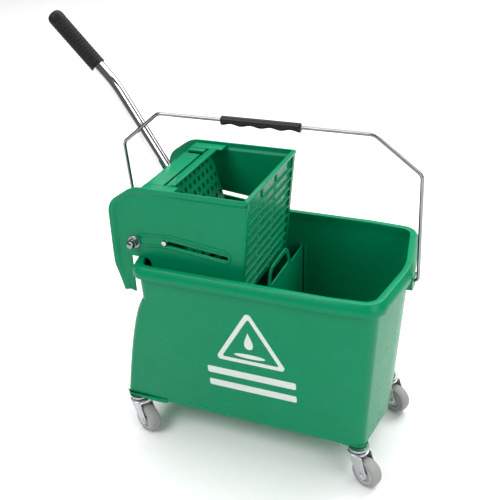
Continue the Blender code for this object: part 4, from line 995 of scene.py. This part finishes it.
# ---- carried-over pieces
def finish_frame_nodes():
    """Gives the nodes that are kept from the frame the finish of their kind."""
    for name, finish in {"guide_rod": ZINC, "lever_axle": ZINC, "tube_bolt": ZINC, "cam_pin_near": ZINC,
            "cam_pin_far": ZINC, "cam_cheek_near": DEEP_GREEN,
            "cam_cheek_far": DEEP_GREEN}.items():
        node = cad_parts[name]
        node.data.materials.clear()
        node.data.materials.append(finish)


# ---- studio
FLOOR_HALF = 6.0
WORLD_STRENGTH = 0.14
# Each light's name, place, width, height, power and the point that it is aimed at.
OBJECT_MIDDLE, BACKGROUND = (0.05, 0, 0.3), (0.05, 1.6, 0)
LIGHTS = (("key", (-1.0, -1.7, 2.2), 1.8, 1.2, 46, OBJECT_MIDDLE),
    ("fill", (1.9, -1.0, 1.3), 1.2, 1.6, 20, OBJECT_MIDDLE),
    ("top", (0.0, 2.2, 4.5), 7.0, 6.0, 370, BACKGROUND),
    ("back", (0.8, 1.2, 1.5), 1.2, 1.0, 16, OBJECT_MIDDLE))
CAMERA_AT = np.array([0.42676, -1.05028, 0.95993])
CAMERA_AZIMUTH, CAMERA_ELEVATION, CAMERA_ROLL = 23.953, 28.619, -3.01
SENSOR_MM, LENS_MM = 36.0, 59.09


def make_studio():
    """A pale floor, a dim white world and four area lights."""
    corners = ((-1, -1), (1, -1), (1, 1), (-1, 1))
    floor = bpy.data.meshes.new("floor")
    floor.from_pydata([(FLOOR_HALF * x, FLOOR_HALF * y, 0) for x, y in corners], [], [(0, 1, 2, 3)])
    floor_object = placed("floor", floor)
    made, tree, shader, place = base_material("pale_matt_studio_floor", Roughness=0.9)
    two_tone(tree, shader, noise(tree, place, 400, 1), "#f4f4f4", "#f8f8f8")
    floor.materials.append(made)

    world = bpy.data.worlds.new("studio")
    bpy.context.scene.world = world
    world.use_nodes = True
    background = world.node_tree.nodes["Background"].inputs
    background["Color"].default_value = (1, 1, 1, 1)
    background["Strength"].default_value = WORLD_STRENGTH
    for name, place_at, width, height, power, target in LIGHTS:
        light = bpy.data.lights.new(name, "AREA")
        light.shape, light.size, light.size_y, light.energy = "RECTANGLE", width, height, power
        lamp = placed(name, light)
        lamp.location = place_at
        aim = Vector(target) - Vector(place_at)
        lamp.rotation_euler = aim.to_track_quat("-Z", "Y").to_euler()


def make_camera():
    """A camera 1.3 m off, 24 degrees to the right of square on and 29 degrees up, rolled 3 degrees."""
    azimuth, elevation, roll = map(math.radians, (CAMERA_AZIMUTH, CAMERA_ELEVATION, CAMERA_ROLL))
    flat = math.cos(elevation)
    forward = np.array([-math.sin(azimuth) * flat, math.cos(azimuth) * flat, -math.sin(elevation)])
    level = unit(np.cross(forward, (0, 0, 1)))
    upright = np.cross(level, forward)
    right = level * math.cos(roll) + upright * math.sin(roll)
    up = -level * math.sin(roll) + upright * math.cos(roll)
    data = bpy.data.cameras.new("camera")
    data.sensor_fit, data.sensor_width = "HORIZONTAL", SENSOR_MM
    data.lens, data.clip_start = LENS_MM, 0.05
    camera = placed("camera", data)
    position = CAMERA_AT + SHIFT
    camera.matrix_world = Matrix([[right[i], up[i], -forward[i], position[i]] for i in range(3)]
        + [[0, 0, 0, 1]])
    bpy.context.scene.camera = camera


make_bucket()
make_safety_mark()
make_divider()
make_panels()
make_grille()
make_housing_inside()
make_axle()
make_press_plate()
make_lever()
make_bail()
for caster, spot in CASTERS.items():
    make_caster(caster, spot)
finish_frame_nodes()
make_studio()
make_camera()
bpy.context.scene.view_settings.view_transform = "Standard"
